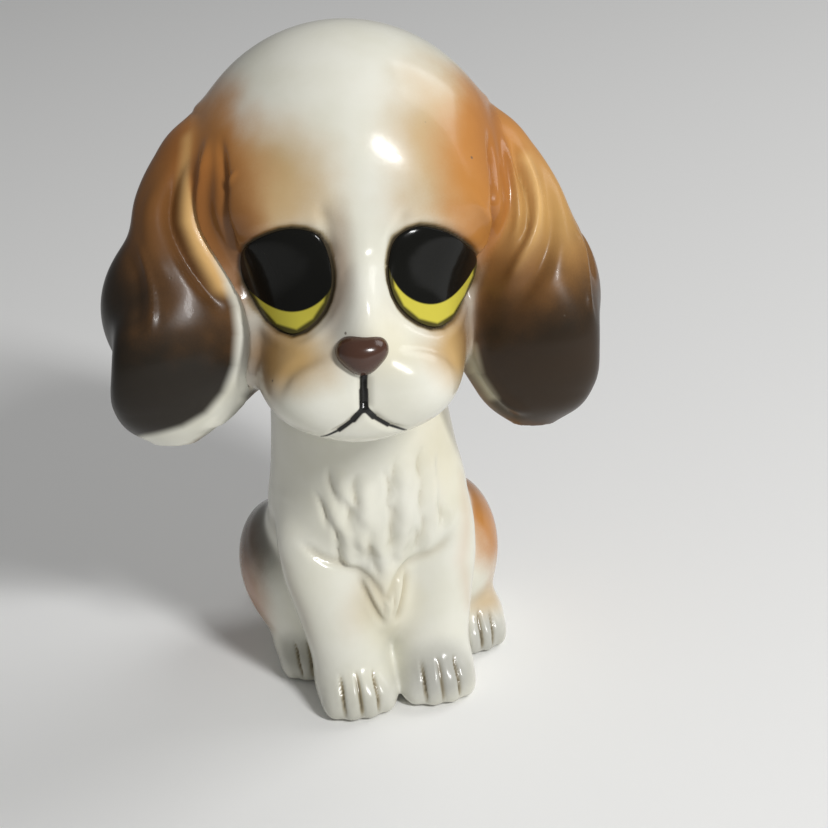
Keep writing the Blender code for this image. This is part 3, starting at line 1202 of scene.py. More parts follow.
@dataclass
class Body:
    """Torso, legs, haunches, hind paws and tail.

    Attributes:
        torso_rings: sections of the torso from the base to inside the head.
        foreleg_rings: sections of the left foreleg.
        foreleg_reach: how much further back each foreleg stands, in mm.
        hind_paw_out: how far each hind paw stands from the middle, in mm.
        softness: smoothing where limbs grow out of the torso, in mm.
        crease: smoothing where limbs are only pressed on, in mm.
    """

    torso_rings: tuple[Ring, ...] = (
        Ring(0, 7, -12, 24, 24),
        Ring(0, 10, 2, 28, 26),
        Ring(0, 11.5, 15, 29.5, 28.5),
        Ring(0, 9.5, 30, 29.5, 28.5),
        Ring(0, 4.5, 45, 30, 27),
        Ring(0, 0, 58, 30, 25),
        Ring(0, -1, 70, 28, 24),
        Ring(0, -1, 82, 26.5, 23.5),
        Ring(0, 0, 95, 25, 23),
        Ring(1, 1, 106, 23, 21),
    )
    foreleg_rings: tuple[Ring, ...] = (
        Ring(19, -8, 64, 6, 6),
        Ring(19, -12, 54, 10, 9),
        Ring(17.5, -15, 42, 11.8, 10.5),
        Ring(14.3, -18, 28, 12.2, 10.8),
        Ring(12.8, -20.5, 16, 11.4, 11.0),
        Ring(12.4, -22, 4, 10.8, 11),
    )
    foreleg_reach: dict[Side, float] = field(
        default_factory=lambda: {Side.LEFT: 0.5, Side.RIGHT: -0.5}
    )
    hind_paw_out: dict[Side, float] = field(
        default_factory=lambda: {Side.LEFT: 29.0, Side.RIGHT: 23.5}
    )
    softness: float = 1.7
    crease: float = 2.4

    def torso(self) -> Lump:
        """Chest, neck, belly and back, with the mass of fur on the chest and a vent."""
        fur = Ball((-1, -15, 58), (20.5, 12.5, 17))
        apron = Ball((-0.5, -20.5, 34), (8.0, 8.5, 15))
        vent = Ball((0, 8, -1), (5, 5, 7))
        return Flattened(Pierced(Blend((Column(self.torso_rings), fur, apron), 2.0), vent))

    def foreleg(self, side: Side) -> Lump:
        """One foreleg with its paw and four toes."""
        back = self.foreleg_reach[side]
        rings = tuple(
            replace(ring, x=ring.x * side.value, y=ring.y + back) for ring in self.foreleg_rings
        )
        forms = [Column(rings), Ball(flipped((12.4, -25 + back, 7.0), side), (11.0, 12.0, 8.6))]
        for out, forward in ((-7.6, 1.8), (-2.7, 0.0), (2.6, 0.2), (7.4, 2.2)):
            centre = flipped((12.4 + out, -33.6 + forward + back, 4.4), side)
            forms.append(Ball(centre, (3.3, 5.2, 5.0)))
        return Flattened(Blend(tuple(forms), 1.3))

    def haunch(self, side: Side) -> Lump:
        """One folded thigh."""
        return Flattened(Ball(flipped((25, 14, 27), side), (15.5, 24.5, 21.5), (0, 8 * side.value, 0)))

    def hind_paw(self, side: Side) -> Lump:
        """One hind paw, from the heel under the haunch to the toes."""
        out = self.hind_paw_out[side]
        forms = [
            Ball(flipped((out, 1, 7.4), side), (9.6, 11.5, 8.0)),
            Ball(flipped((out - 2, 13, 8), side), (9.5, 11, 8.8)),
        ]
        for aside, forward in ((-6.0, 1.8), (-2.0, 0.0), (2.2, 0.4), (6.2, 2.6)):
            forms.append(Ball(flipped((out + aside, -9.0 + forward, 4.6), side), (2.7, 4.6, 4.6)))
        return Flattened(Blend(tuple(forms), 1.2))

    def tail(self) -> Lump:
        """Short tail that curls round on the ground."""
        balls = []
        for index in range(9):
            part = index / 8
            angle = radians(-80 + 105 * part)
            spot = (-17 - 19 * sin(angle), 33 + 13.5 * cos(angle), 7.5 - 2.2 * part)
            size = 7.4 - 3.4 * part ** 1.5
            balls.append(Ball(spot, (size, size, size)))
        return Flattened(Blend(tuple(balls), 1.2))

    def owners(self) -> dict[str, Lump]:
        """The form of every piece of the body."""
        forms: dict[str, Lump] = {"torso_shell": self.torso()}
        for side in Side:
            forms[f"foreleg_{side.word}"] = self.foreleg(side)
            forms[f"haunch_{side.word}"] = self.haunch(side)
            forms[f"hind_paw_{side.word}"] = self.hind_paw(side)
        forms["tail"] = self.tail()
        return forms

    def clay(self) -> Lump:
        """The whole body pressed together."""
        forms = self.owners()
        core = [forms.pop("torso_shell")] + [forms.pop(f"foreleg_{s.word}") for s in Side]
        return Blend((Blend(tuple(core), self.softness), *forms.values()), self.crease)

    def fur(self) -> Iterator[Stroke]:
        """Locks of fur on the chest, each with a lit back and a furrow beside it."""
        chance = np.random.default_rng(11)
        rows = ((77, 63, 17, 5), (69, 55, 20, 6), (61, 48, 20, 6), (54, 42, 14, 5))
        for row, (top, tip, half, count) in enumerate(rows):
            for index in range(count):
                across = (index + 0.5 + 0.25 * (-1) ** row) / count * 2 - 1
                start = across * half + chance.uniform(-0.8, 0.8)
                lift = abs(across) * 3.0 + chance.uniform(-1.5, 1.5)
                end = start * 0.85 + chance.uniform(-1.0, 1.0)
                sway = chance.uniform(1.2, 2.6) * chance.choice((-1, 1))
                spots = ((start, top), (start * 0.95 + sway, (top + tip) / 2 + 1), (end, tip))
                furrow = tuple((x, z + lift) for x, z in spots)
                yield Stroke(furrow, -1.3, 2.3, Edge.SHARP, 0.5, 0.45)
                back = tuple((x + half / count, z + lift - 1.5) for x, z in spots)
                yield Stroke(back, 1.25, 3.2, Edge.ROUND, 0.0, 0.45)

    def strokes(self) -> Iterator[Stroke]:
        """Every mark of the tools on the body."""
        yield from self.fur()
        rim = ((-25, 56), (-19, 50), (-12, 46), (-5, 41), (-1, 35), (4, 41), (11, 44), (18, 47), (24, 53))
        yield Stroke(rim, -1.3, 2.2, Edge.ROUND, 0.45, 0.15)
        for tuft in (((-8.5, 43), (-5.5, 34), (-1.5, 24)), ((7.5, 43), (5, 34), (1, 24))):
            yield Stroke(tuft, -1.3, 1.6, Edge.ROUND, 0.6, 0.25)
        for tuft in (((-3.5, 42), (-2, 34), (-1, 27)), ((2.5, 40), (2, 33), (0.5, 26))):
            yield Stroke(tuft, -1.0, 1.5, Edge.SHARP, 0.5, 0.35)
        # pooled glaze and painted shade darken the toe grooves near black
        for side in Side:
            back = self.foreleg_reach[side]
            for out, lean in ((-5.1, -0.6), (0.0, 0.0), (5.0, 0.8)):
                line = tuple(
                    flipped((12.4 + out + lean * step, y + back, z), side)
                    for step, y, z in ((-1, -30, 14.5), (0, -36, 9), (0.6, -38.5, 3.5), (0.8, -37, 0))
                )
                yield Stroke(line, -1.3, 1.25, Edge.SHARP, 1.7, 0.35)
            out = self.hind_paw_out[side]
            for aside in (-4.0, 0.2, 4.3):
                line = tuple(
                    flipped((out + aside, y, z), side)
                    for y, z in ((-6, 14), (-11, 9), (-13.5, 4), (-12.5, 0))
                )
                yield Stroke(line, -1.2, 1.2, Edge.SHARP, 1.7, 0.35)

    def glaze(self, name: str) -> Glaze:
        """Cream body, and haunches and tail with sprayed patches.

        Args:
            name: name of the material.

        Returns:
            The glaze.
        """
        return Glaze(
            name,
            CREAM,
            (
                Spray(WARM_CREAM, (0, -26, 31), (9, 9, 12), 0.5, 0.5),
                Spray(WARM_CREAM, (24, -14, 76), (14, 14, 16), 0.7, 0.55),
                Spray(TAN, (-9, -29, 33), (5, 6, 8), 0.8, 0.18, (0, 25, 0)),
                Line(RED_BROWN, ((-33, -6, 54), (-30, -20, 45), (-26, -24, 32), (-22, -24, 22)),
                     (2.0, 1.2), 3.4, 0.25),
                Line(ORANGE, ((30, -12, 62), (28, -18, 54), (24, -25, 41), (25, -24, 26)),
                     (2.0, 1.0), 4.0, 0.32),
                Spray(TAN, (31, -2, 15), (8, 8, 6), 0.6, 0.65),
                Spray(GREY, (13, -36, 10), (12, 10, 8), 0.6, 0.62),
                Spray(GREY, (-13, -38, 5), (12, 8, 6), 0.7, 0.38),
                Spray(GREY, (31, -12, 6), (9, 7, 7), 0.6, 0.55),
                Spray(GREY, (-26, -10, 6), (9, 8, 8), 0.7, 0.45),
                Spray(ORANGE, (0, 36, 52), (20, 18, 26), 0.6, 0.8),
                Spray(BROWN, (0, 42, 58), (10, 14, 16), 0.8, 0.4),
            ),
            (
                Spray(DEEP_ORANGE, (-42, 14, 26), (10, 24, 24), 0.5, 0.85),
                Spray(SMOKE, (-35, 12, 46), (15, 24, 13), 0.6, 0.75),
                Spray(ORANGE, (38, 12, 40), (15, 24, 18), 0.38, 1.0),
                Spray(RED_BROWN, (38, 20, 49), (12, 20, 9), 0.7, 0.55),
                Spray(ORANGE, (-22, 44, 8), (18, 12, 12), 0.5, 0.95),
                Spray(BROWN, (-20, 46, 13), (16, 8, 6), 0.8, 0.5),
            ),
            foot=True,
        )

    def build(self) -> dict[str, bpy.types.Object]:
        """Skin, tool, part and glaze the body.

        Returns:
            The pieces by node name.
        """
        clay = self.clay()
        skin = skinned(clay, (-46, -46, -3), (46, 56, 110), FINE_STEP)
        forms = self.owners()
        limbs = [forms.pop(name) for name in ("haunch_left", "haunch_right", "tail")]
        skin.limb = limb_share(skin, Blend(tuple(forms.values()), 0.5), limbs, 0.6)
        tooled(skin, clay, self.strokes())
        skin.points[:, 2] = np.maximum(skin.points[:, 2], 0.0)
        pieces = {}
        for name, faces in parted(skin, self.owners()).items():
            piece = close_up(f"puppy_{name}", skin, faces, BODY_BENCH)
            slot = Slot.PATCH if name.startswith(("haunch", "tail")) else Slot.CREAM
            pieces[name] = finish_piece(piece, name, slot, self.glaze(f"body_{slot.value}"))
        return pieces


# ---------------------------------------------------------------------------
# Head
# ---------------------------------------------------------------------------

@dataclass(frozen=True)
class Eye:
    """One sad round eye.

    Attributes:
        side: the puppy's own side.
        outline: its rim as (x, z) in mm, in order round it.
        pupil: middle (x, z) and half width and half height of the black disc, in mm.
        dome: how far it bulges, in mm.
    """

    side: Side
    outline: tuple[tuple[float, float], ...]
    pupil: tuple[float, float, float, float]
    dome: float = 2.4

    def rim(self, count: int = 96, grow: float = 0.0) -> np.ndarray:
        """Even points (x, z) round the rim.

        Args:
            count: how many points.
            grow: how far outside the rim, in mm.

        Returns:
            The points.
        """
        knots = np.array(self.outline)
        chain = np.concatenate([knots[-3:], knots, knots[:4]])
        line = smooth_path(chain, 400)
        start = int(np.argmin(np.linalg.norm(line[:140] - knots[0], axis=1)))
        stop = 200 + int(np.argmin(np.linalg.norm(line[200:] - knots[0], axis=1)))
        loop = smooth_path(line[start:stop + 1], count + 1)[:-1]
        middle = loop.mean(axis=0)
        away = loop - middle
        return loop + away / np.linalg.norm(away, axis=1, keepdims=True) * grow

    def strokes(self) -> Iterator[Stroke]:
        """The furrow round the eye and its lids."""
        furrow = [tuple(spot) for spot in self.rim(28)]
        # painted shade with the pooled glaze in the furrow round the eye, near black
        yield Stroke(tuple(furrow + furrow[:1]), -0.9, 1.8, Edge.ROUND, 2.3, 0.001)
        lids = self.rim(28, 2.9)
        upper = [tuple(spot) for spot in lids if spot[1] > lids[:, 1].mean() - 2]
        upper.sort()
        yield Stroke(tuple(upper), 0.45, 2.8, Edge.ROUND, 0.0, 0.3)
        lower = [tuple(spot) for spot in lids if spot[1] < lids[:, 1].mean() + 1]
        lower.sort()
        yield Stroke(tuple(lower), 0.55, 2.4, Edge.ROUND, 0.0, 0.3)

    def glaze(self) -> Glaze:
        """Black over yellow, with a dark rim."""
        x, z, half_x, half_z = self.pupil
        rim = self.rim(14)
        line = tuple((float(px), 0.0, float(pz)) for px, pz in rim)
        return Glaze(
            f"eye_{self.side.word}_glaze",
            (0.60, 0.53, 0.07),
            (
                Line((0.050, 0.042, 0.014), line + line[:1], (0.85, 0.85), 0.45, 0.95, True),
                Spray((0.007, 0.007, 0.006), (x, 0, z), (half_x, 300, half_z), 0.018, masked=True),
            ),
            bench=HEAD_BENCH,
            roughness=-0.06,
            coat=0.05,
            sheen_level=0.16,
        )

    def build(self, clay: Lump) -> bpy.types.Object:
        """Form and glaze the eye.

        Args:
            clay: the head that it sits in.

        Returns:
            The piece.
        """
        rim = self.rim()
        middle = rim.mean(axis=0)
        steps = np.sin(np.linspace(0, pi / 2, 33))[1:]
        spots = [middle[None]] + [middle + (rim - middle) * step for step in steps]
        share = np.concatenate([[0.0], np.repeat(steps, len(rim))])
        flat = front_of(clay, np.concatenate(spots))
        front = flat.copy()
        front[:, 1] -= self.dome * (1 - share ** 2) ** 0.6 - 0.3
        back = flat.copy()
        back[:, 1] += 1.6 + 2.0 * (1 - share ** 2)
        count, around = len(front), len(rim)
        faces = []
        for level in range(len(steps)):
            for index in range(around):
                after = (index + 1) % around
                outer = 1 + level * around
                inner = outer - around
                corners = (outer + index, outer + after)
                corners += (inner + after, inner + index) if level else (0,)
                faces += [corners, tuple(count + corner for corner in reversed(corners))]
        outer = 1 + (len(steps) - 1) * around
        for index in range(around):
            after = (index + 1) % around
            one, two = outer + index, outer + after
            faces.append((two, one, count + one, count + two))
        mesh = bpy.data.meshes.new(f"puppy_eye_{self.side.word}")
        mesh.from_pydata(HEAD_BENCH.points(np.vstack([front, back])).tolist(), [], faces)
        mesh.shade_smooth()
        mesh.set_sharp_from_angle(angle=radians(50))
        builder = bmesh.new()
        builder.from_mesh(mesh)
        bmesh.ops.recalc_face_normals(builder, faces=builder.faces)
        builder.to_mesh(mesh)
        builder.free()
        piece = stand(mesh.name, mesh)
        return finish_piece(piece, f"eye_{self.side.word}", Slot.EYE, self.glaze())


EYES = (
    Eye(
        Side.RIGHT,
        ((-9.0, -14), (-12, -7.4), (-18, -5.8), (-25, -7.6), (-31, -12.5), (-31.6, -19), (-29, -26),
         (-25, -31.5), (-20, -33.4), (-13, -29.5), (-9.2, -22)),
        (-20.4, -13.9, 13.4, 14.3),
    ),
    Eye(
        Side.LEFT,
        ((6.6, -16), (9.2, -9), (14.5, -6.6), (21, -8), (28, -12.5), (33.0, -18.5), (32.0, -26),
         (27, -31.5), (20, -33.6), (12.5, -30.5), (7.6, -24)),
        (20.2, -13.6, 14.2, 14.4),
    ),
)


@dataclass
class Head:
    """Skull, muzzle and ears, in the head's own frame.

    Attributes:
        softness: smoothing between the forms of the face, in mm.
        ear_softness: smoothing where the ears grow out of the skull, in mm.
        root_rings: sections of both ears where they leave the skull.
        flap_rings: sections of each ear from there to its tip.
        eyes: the two eyes.
    """

    softness: float = 4.5
    ear_softness: float = 2.2
    root_rings: tuple[Ring, ...] = (
        Ring(35, 2, 21, 5, 5),
        Ring(38.5, 0, 17, 8, 8.5, -10),
        Ring(42.5, -3, 9, 11, 10.5, -20),
        Ring(46, -9, -1, 13, 11, -25),
    )
    flap_rings: dict[Side, tuple[Ring, ...]] = field(default_factory=lambda: {
        Side.LEFT: (
            Ring(47.5, -15, -14, 13.5, 10.5, -28),
            Ring(47, -18, -24, 15.5, 10.5, -28),
            Ring(47.5, -19.5, -34, 19, 10.5, -27),
            Ring(47.5, -20, -45, 20.5, 10.5, -25),
            Ring(50, -17, -57, 17.5, 9.5, -20),
            Ring(51, -14, -65, 12.5, 7.5, -15),
            Ring(51.5, -12, -70, 6, 4),
        ),
        Side.RIGHT: (
            Ring(46.5, -15, -13, 12.5, 10.5, -28),
            Ring(45, -18.5, -23, 14.5, 10.5, -26),
            Ring(44, -22, -34, 22, 10.5, -23),
            Ring(44.5, -22.5, -45, 24, 10.5, -21),
            Ring(48.5, -18, -57, 20, 9.5, -20),
            Ring(51, -14, -65, 13, 7.5, -15),
            Ring(51.5, -12, -70, 6, 4),
        ),
    })
    eyes: tuple[Eye, ...] = EYES

    def skull(self) -> Lump:
        """Skull, brows, cheeks, muzzle and chin."""
        forms = [
            Ball((0, 0, 0), SKULL_RADII),
            Ball((0, -12, -28), (27.5, 28, 26)),
            Ball((-1, -38, -30), (7, 18, 14)),
            Ball((-1.5, -40, -56), (8.5, 9.5, 6)),
            Ball((0, 6, -40), (25, 24, 20)),
            Ball((-14, -24, -43), (14.5, 19, 16)),
            Ball((14, -24, -43), (14.5, 19, 16)),
            Ball((-13, -41, -48), (13.0, 14.5, 11.5)),
            Ball((10, -41, -47.5), (13.5, 14.5, 11.5)),
            Ball((-22, -25.5, 0), (14, 12, 9), (0, -12, 0)),
            Ball((24, -25, -1), (14.5, 11.5, 8.5), (0, 18, 0)),
        ]
        return Blend(tuple(forms), self.softness)

    def ear(self, side: Side) -> Lump:
        """One hanging ear with its rear lobe."""
        rings = tuple(
            replace(ring, x=ring.x * side.value, turn=ring.turn * side.value)
            for ring in self.root_rings + self.flap_rings[side]
        )
        lobe = Ball(flipped((55.5, -12.5, -31), side), (14.0, 12.0, 18.0))
        return Blend((Column(rings), lobe), 5.0)

    def owners(self) -> dict[str, Lump]:
        """The form of every piece of the head that shares one skin."""
        forms: dict[str, Lump] = {"head_shell": self.skull()}
        for side in Side:
            forms[f"ear_{side.word}"] = self.ear(side)
        return forms

    def clay(self) -> Lump:
        """The whole head pressed together."""
        return Blend(tuple(self.owners().values()), self.ear_softness)

    def face_strokes(self) -> Iterator[Stroke]:
        """Eyes, brows, nose bridge, muzzle and mouth."""
        for eye in self.eyes:
            yield from eye.strokes()
        yield Stroke(((-11.5, 3), (-9.5, -5), (-7, -15)), -1.1, 2.6, Edge.ROUND, 0.35)
        yield Stroke(((13, -1), (9, -6), (6, -13)), -0.9, 2.4, Edge.ROUND, 0.15)
        yield Stroke(((1, 0), (0, -14), (-1, -27)), 0.8, 6.0, Edge.ROUND, 0.0, 0.4)
        yield Stroke(((-9, -38), (-15, -38.5), (-21, -42), (-25.5, -50)), -1.0, 3.2, Edge.ROUND, 0.15)
        yield Stroke(((5, -37), (13, -36.5), (21, -40), (26, -47)), -0.8, 3.2, Edge.ROUND, 0.1)
        yield Stroke(((-2, -42), (-2, -47), (-2, -52.5)), -1.9, 2.1, Edge.ROUND, 0.5, 0.15)
        yield Stroke(((-2, -51.5), (-6.5, -56.5), (-12, -60.5)), -1.4, 1.7, Edge.ROUND, 0.5)
        yield Stroke(((-2, -51.5), (1.5, -55.5), (5, -58), (10, -60)), -1.4, 1.7, Edge.ROUND, 0.5)

    def right_ear_strokes(self) -> Iterator[Stroke]:
        """Folds of the puppy's right ear."""
        crest = ((-39, 17), (-39.5, 8), (-40.5, 0), (-40, -6), (-37, -13), (-33.5, -21), (-29.5, -29),
                 (-28.5, -36), (-29.5, -45), (-32, -54), (-38, -61), (-46, -66))
        yield Stroke(crest, 2.1, 2.9, Edge.ROUND, 0.0, 0.1)
        roll = ((-41.5, 13), (-44, 2), (-44.5, -6), (-41, -14), (-36.5, -22), (-32.5, -31))
        yield Stroke(roll, 1.8, 5.4, Edge.ROUND, 0.0, 0.25)
        yield Stroke(((-35.5, 18), (-35.5, 6), (-36, -3), (-34, -10), (-31, -17)), -2.1, 2.4, Edge.ROUND, 0.3)
        valley = ((-43.5, 13), (-48.5, 3), (-49.8, -5), (-46.5, -14), (-41.5, -22), (-36, -31))
        yield Stroke(valley, -2.4, 3.0, Edge.ROUND, 0.3, 0.3)
        yield Stroke(((-51, 7), (-55, -3), (-55, -14), (-50, -25)), 1.0, 4.0)
        yield Stroke(((-60, -9), (-57.5, -14), (-56, -21), (-56, -28), (-58, -36)), 0.9, 1.8)
        yield Stroke(((-62.5, -12), (-60, -19), (-59.5, -27), (-61, -35)), -0.8, 2.6, Edge.ROUND, 0.2)
        yield Stroke(((-37, 2), (-34.5, 5.5), (-31.5, 9.5)), 0.6, 1.4)

    def left_ear_strokes(self) -> Iterator[Stroke]:
        """Folds of the puppy's left ear."""
        joint = ((38, 17), (38, 9), (37.5, -3), (37, -13), (35, -19), (31.5, -28), (30, -36))
        yield Stroke(joint, -2.1, 2.4, Edge.ROUND, 0.6, 0.2)
        yield Stroke(((29, 1), (33, -3), (36, -9), (35, -15), (32, -18)), 1.0, 2.2)
        yield Stroke(((42.5, 15), (43.5, 6), (45, -2), (45, -9), (42.5, -17)), 1.8, 2.5)
        yield Stroke(((45.5, 13), (46.5, 3), (47.8, -5), (46.5, -12), (43, -19)), -1.6, 2.0, Edge.ROUND, 0.25)
        yield Stroke(((47.5, 13), (49.5, 4), (50.5, -3), (50, -9), (47.5, -15), (43.5, -22), (39.5, -29)),
                     2.0, 2.8)
        yield Stroke(((53, 8), (55, -2), (54.5, -11), (51, -20), (45.5, -28), (40.5, -36)),
                     -1.9, 3.8, Edge.ROUND, 0.15)
        yield Stroke(((33.5, -36), (33, -44), (35.5, -52), (41, -60), (49, -66)), 1.3, 3.0, Edge.ROUND, 0.0, 0.2)
        yield Stroke(((61, -10), (63.5, -17), (64, -25), (64, -33), (66, -39)), 0.9, 1.7)
        yield Stroke(((64.5, -13), (66.5, -20), (67, -28)), -1.1, 2.2, Edge.ROUND, 0.15)

    def strokes(self) -> Iterator[Stroke]:
        """Every mark of the tools on the head."""
        yield from self.face_strokes()
        yield from self.right_ear_strokes()
        yield from self.left_ear_strokes()

    def glaze(self, name: str) -> Glaze:
        """Cream face with sprayed temples and an inked mouth, and ears smoked towards their tips.

        Args:
            name: name of the material.

        Returns:
            The glaze.
        """
        mouth = (
            (((-2.0, -42.0), (-2.2, -47.0), (-2.2, -52.0)), (1.05, 1.25)),
            (((-2.2, -51.5), (-5.0, -55.2), (-8.6, -58.4), (-13.0, -61.0)), (0.85, 0.35)),
            (((-2.2, -51.5), (0.4, -54.6), (4.4, -57.6), (9.6, -60.2)), (0.85, 0.35)),
        )
        lines = tuple(
            Line(INK, tuple((x, 0.0, z) for x, z in path), widths, 0.25, 1.0, True)
            for path, widths in mouth
        )
        edge = ((-39, 0, 0), (-38.5, 0, -8), (-36.5, 0, -15), (-34, 0, -22), (-31.5, 0, -29), (-31, 0, -37),
                (-32, 0, -46), (-35.5, 0, -55), (-41, 0, -62), (-49, 0, -66.5), (-58, 0, -69))
        roll = ((-41, 0, 14), (-42.5, 0, 5), (-43, 0, -5), (-40.5, 0, -12), (-36, 0, -21))
        pale = ((49, 0, 6), (50.5, 0, -4), (49, 0, -12), (44, 0, -21))
        inner = ((31, 0, -44), (33, 0, -52), (38, 0, -60))
        return Glaze(
            name,
            CREAM,
            (
                Spray(TAN, (-26, -32, 4), (19, 24, 17), 0.55, 0.85),
                Spray(ORANGE, (-42, -12, 2), (19, 38, 31), 0.45, 1.0),
                Spray(DEEP_ORANGE, (-42, -22, -8), (15, 26, 22), 0.6, 0.85),
                Spray(TAN, (27, -28, 10), (21, 28, 25), 0.45, 0.8),
                Spray(ORANGE, (37, -18, 2), (19, 38, 27), 0.36, 1.0),
                Spray(DEEP_ORANGE, (42, -16, 6), (11, 22, 22), 0.7, 0.7),
                Spray(RED_BROWN, (-34, -29, -9), (9, 14, 14), 0.7, 0.8),
                Spray(RED_BROWN, (-7.5, -46, -18), (3.6, 12, 15), 0.7, 0.65, (0, 6, 0)),
                Spray(TAN, (-20, -44, -40), (13, 14, 8.0), 0.6, 0.95),
                Spray(TAN, (25, -40, -41), (12, 14, 9.5), 0.6, 0.95),
                Spray(RED_BROWN, (-27, -34, -42), (6, 14, 13), 0.8, 0.6),
                Spray(RED_BROWN, (31, -30, -38), (6, 14, 15), 0.8, 0.6),
                Spray(WARM_CREAM, (6, -54, -34), (8, 10, 8), 0.8, 0.5),
                *lines,
            ),
            (
                Spray(ORANGE, (0, 0, 0), (300, 300, 300)),
                Spray(DEEP_ORANGE, (-46, -18, 2), (16, 28, 24), 0.6, 0.85),
                Spray(RED_BROWN, (-55, -18, -8), (15, 28, 24), 0.6, 0.95),
                Spray(BROWN, (-50, -20, -30), (28, 28, 20), 0.6, 0.85),
                Spray(SMOKE, (-56, -20, -50), (34, 30, 28), 0.40, 1.0),
                Spray(SMOKE, (-68, -8, -28), (14, 22, 18), 0.6, 0.95),
                # amber on the rolled ridge of the right ear, partly a painted highlight
                Line(AMBER_AND_HIGHLIGHT, roll, (3.6, 3.8), 2.4, 0.95, True),
                Line(CREAM, edge, (1.2, 4.2), 1.8, 0.97, True),
                Spray(TAN, (54, -22, -12), (15, 24, 20), 0.7, 0.75),
                # amber along a ridge of the left ear, partly a painted highlight
                Line(AMBER_AND_HIGHLIGHT, pale, (1.6, 1.6), 2.2, 0.8, True),
                Spray(RED_BROWN, (46, -24, -29), (22, 26, 15), 0.6, 0.85),
                Spray(BROWN, (68, -8, -28), (14, 22, 20), 0.6, 0.8),
                Spray(SMOKE, (56, -22, -52), (32, 30, 27), 0.42, 0.97),
                Line(WARM_CREAM, inner, (1.4, 1.0), 1.6, 0.5, True),
            ),
            bench=HEAD_BENCH,
        )

    def build(self) -> dict[str, bpy.types.Object]:
        """Skin, tool, part and glaze the head, then set in the eyes and the nose.

        Returns:
            The pieces by node name.
        """
        clay = self.clay()
        skin = skinned(clay, (-76, -66, -76), (76, 50, 50), FINE_STEP)
        skin.limb = limb_share(skin, self.skull(), [self.ear(side) for side in Side], 0.7)
        tooled(skin, clay, self.strokes())
        pieces = {}
        for name, faces in parted(skin, self.owners()).items():
            piece = close_up(f"puppy_{name}", skin, faces, HEAD_BENCH)
            slot = Slot.CREAM if name == "head_shell" else Slot.EAR
            glaze = self.glaze(f"head_{slot.value}")
            if slot is Slot.EAR:
                glaze = replace(glaze, roughness=0.10, coat=0.03, sheen_level=0.18)
            pieces[name] = finish_piece(piece, name, slot, glaze)
        for eye in self.eyes:
            pieces[f"eye_{eye.side.word}"] = eye.build(clay)
        pieces["nose"] = self.nose()
        return pieces

    def nose(self) -> bpy.types.Object:
        """Form and glaze the nose: flat on top and pointed below.

        Returns:
            The piece.
        """
        clay = Blend((
            Ball((-5.4, -54.0, -36.3), (3.6, 4.8, 3.3)),
            Ball((0.9, -54.2, -36.0), (3.6, 4.8, 3.3)),
            Ball((-2.3, -54.4, -38.6), (4.2, 5.2, 4.2)),
            Ball((-2.3, -54.6, -36.2), (4.8, 5.0, 3.2)),
        ), 1.2)
        skin = skinned(clay, (-14, -64, -47), (10, -44, -28), FINE_STEP * 0.6)
        piece = close_up("puppy_nose", skin, np.arange(len(skin.quads)), HEAD_BENCH)
        glaze = Glaze(
            "nose_glaze",
            (0.075, 0.040, 0.026),
            (Spray((0.035, 0.018, 0.012), (-2.3, -54, -42), (6, 8, 4), 0.7, 0.8),),
            bench=HEAD_BENCH,
        )
        return finish_piece(piece, "nose", Slot.NOSE, glaze)


# ---------------------------------------------------------------------------
# Studio
# ---------------------------------------------------------------------------

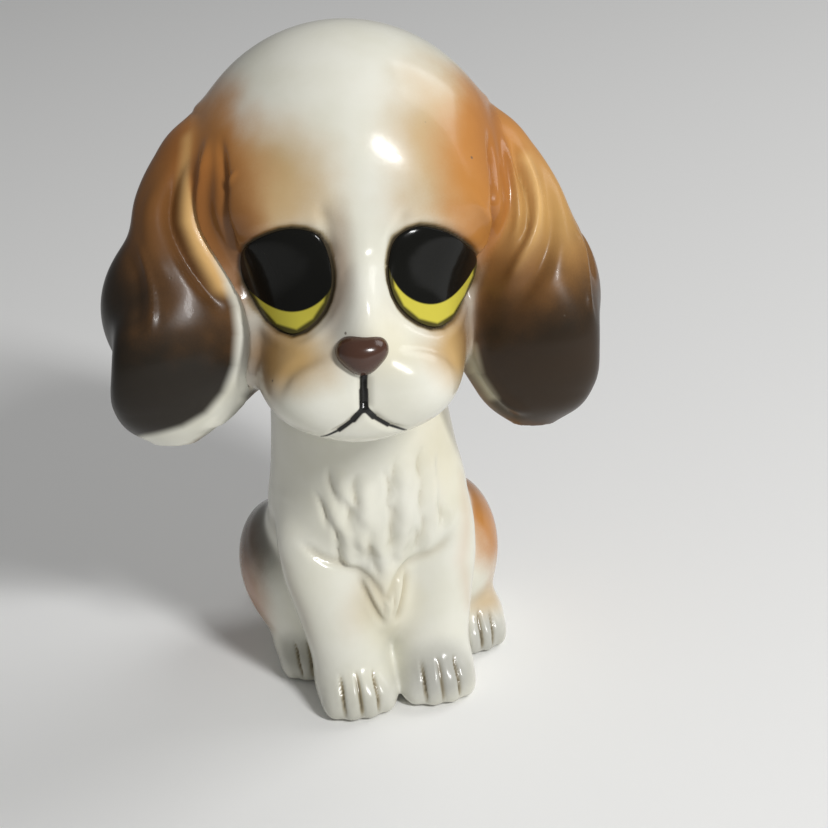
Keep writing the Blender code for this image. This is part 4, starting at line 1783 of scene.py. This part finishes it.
@dataclass
class Studio:
    """Pale floor, soft lights and the camera.

    Attributes:
        azimuth: how far the camera stands round to the figure's right, in degrees.
        elevation: how far it looks down, in degrees.
        roll: how far it is tilted, in degrees.
        distance: from the camera to the middle of the figure, in metres.
        focus: the middle of the figure.
        focal_ratio: distance of the picture plane over the picture's width.
        aside: how far left of the middle the figure stands, over the picture's width.
        above: how far above the middle it stands, over the same width.
    """

    azimuth: float = -6.0
    elevation: float = 24.0
    roll: float = -6.0
    distance: float = 0.6
    focus: Vector = field(default_factory=lambda: Vector((0.0, -0.004, 0.098)))
    focal_ratio: float = 2.4783
    aside: float = 0.0700
    above: float = 0.0519

    def place_camera(self) -> None:
        """Stand the camera where it sees the figure a little left of the middle."""
        azimuth, elevation, roll = map(radians, (self.azimuth, self.elevation, self.roll))
        back = Vector((sin(azimuth) * cos(elevation), -cos(azimuth) * cos(elevation), sin(elevation)))
        level = Vector((cos(azimuth), sin(azimuth), 0.0))
        upward = back.cross(level)
        right = level * cos(roll) + upward * sin(roll)
        top = upward * cos(roll) - level * sin(roll)
        aim = back - right * (self.aside / self.focal_ratio) + top * (self.above / self.focal_ratio)
        aim.normalize()
        right = (right - aim * right.dot(aim)).normalized()
        top = aim.cross(right)
        camera = stand("camera", bpy.data.cameras.new("camera"))
        camera.data.sensor_width = SENSOR_WIDTH
        camera.data.lens = SENSOR_WIDTH * self.focal_ratio
        camera.data.clip_start = 0.01
        place = Matrix((right, top, aim)).transposed().to_4x4()
        place.translation = self.focus + back * self.distance
        camera.matrix_world = place
        bpy.context.scene.camera = camera

    def lay_floor(self) -> None:
        """A wide pale floor."""
        builder = bmesh.new()
        bmesh.ops.create_grid(builder, x_segments=2, y_segments=2, size=3.0)
        mesh = bpy.data.meshes.new("floor")
        builder.to_mesh(mesh)
        builder.free()
        floor = stand("floor", mesh)
        material = bpy.data.materials.new("pale_floor")
        material.use_nodes = True
        shader = material.node_tree.nodes["Principled BSDF"]
        shader.inputs["Base Color"].default_value = (0.93, 0.93, 0.92, 1)
        shader.inputs["Roughness"].default_value = 0.8
        mesh.materials.append(material)

    def hang_light(
        self, name: str, place: Point, size: tuple[float, float], power: float, spin: float = 0.0
    ) -> None:
        """Hang one soft box that faces the figure.

        Args:
            name: name of the light.
            place: where it hangs, in metres.
            size: its width and height, in metres.
            power: its power in watts.
            spin: its turn about the way to the figure, in degrees.
        """
        lamp = bpy.data.lights.new(name, "AREA")
        lamp.shape = "RECTANGLE"
        lamp.size, lamp.size_y = size
        lamp.energy = power
        thing = stand(name, lamp)
        thing.location = place
        facing = (self.focus - Vector(place)).to_track_quat("-Z", "Y").to_matrix()
        thing.rotation_euler = (facing @ Matrix.Rotation(radians(spin), 3, "Z")).to_euler()

    def light(self) -> None:
        """Window light from the upper right, a wide light behind it and a bright room."""
        self.hang_light("window", (0.50, -0.95, 0.90), (0.12, 0.34), 11.5, 26.0)
        self.hang_light("side_room", (1.3, 0.3, 1.2), (1.0, 1.0), 9.0)
        world = bpy.data.worlds.new("room")
        world.use_nodes = True
        sky = world.node_tree.nodes["Background"]
        sky.inputs["Color"].default_value = (1, 1, 1, 1)
        sky.inputs["Strength"].default_value = 0.20
        bpy.context.scene.world = world
        bpy.context.scene.view_settings.view_transform = "Standard"

    def build(self) -> None:
        """Set up everything round the figure."""
        self.place_camera()
        self.lay_floor()
        self.light()


def main() -> None:
    """Build the studio, the body and the head, in that order."""
    logging.basicConfig(level=logging.INFO, format="%(name)s %(message)s")
    Studio().build()
    Body().build()
    Head().build()


if __name__ == "__main__":
    main()
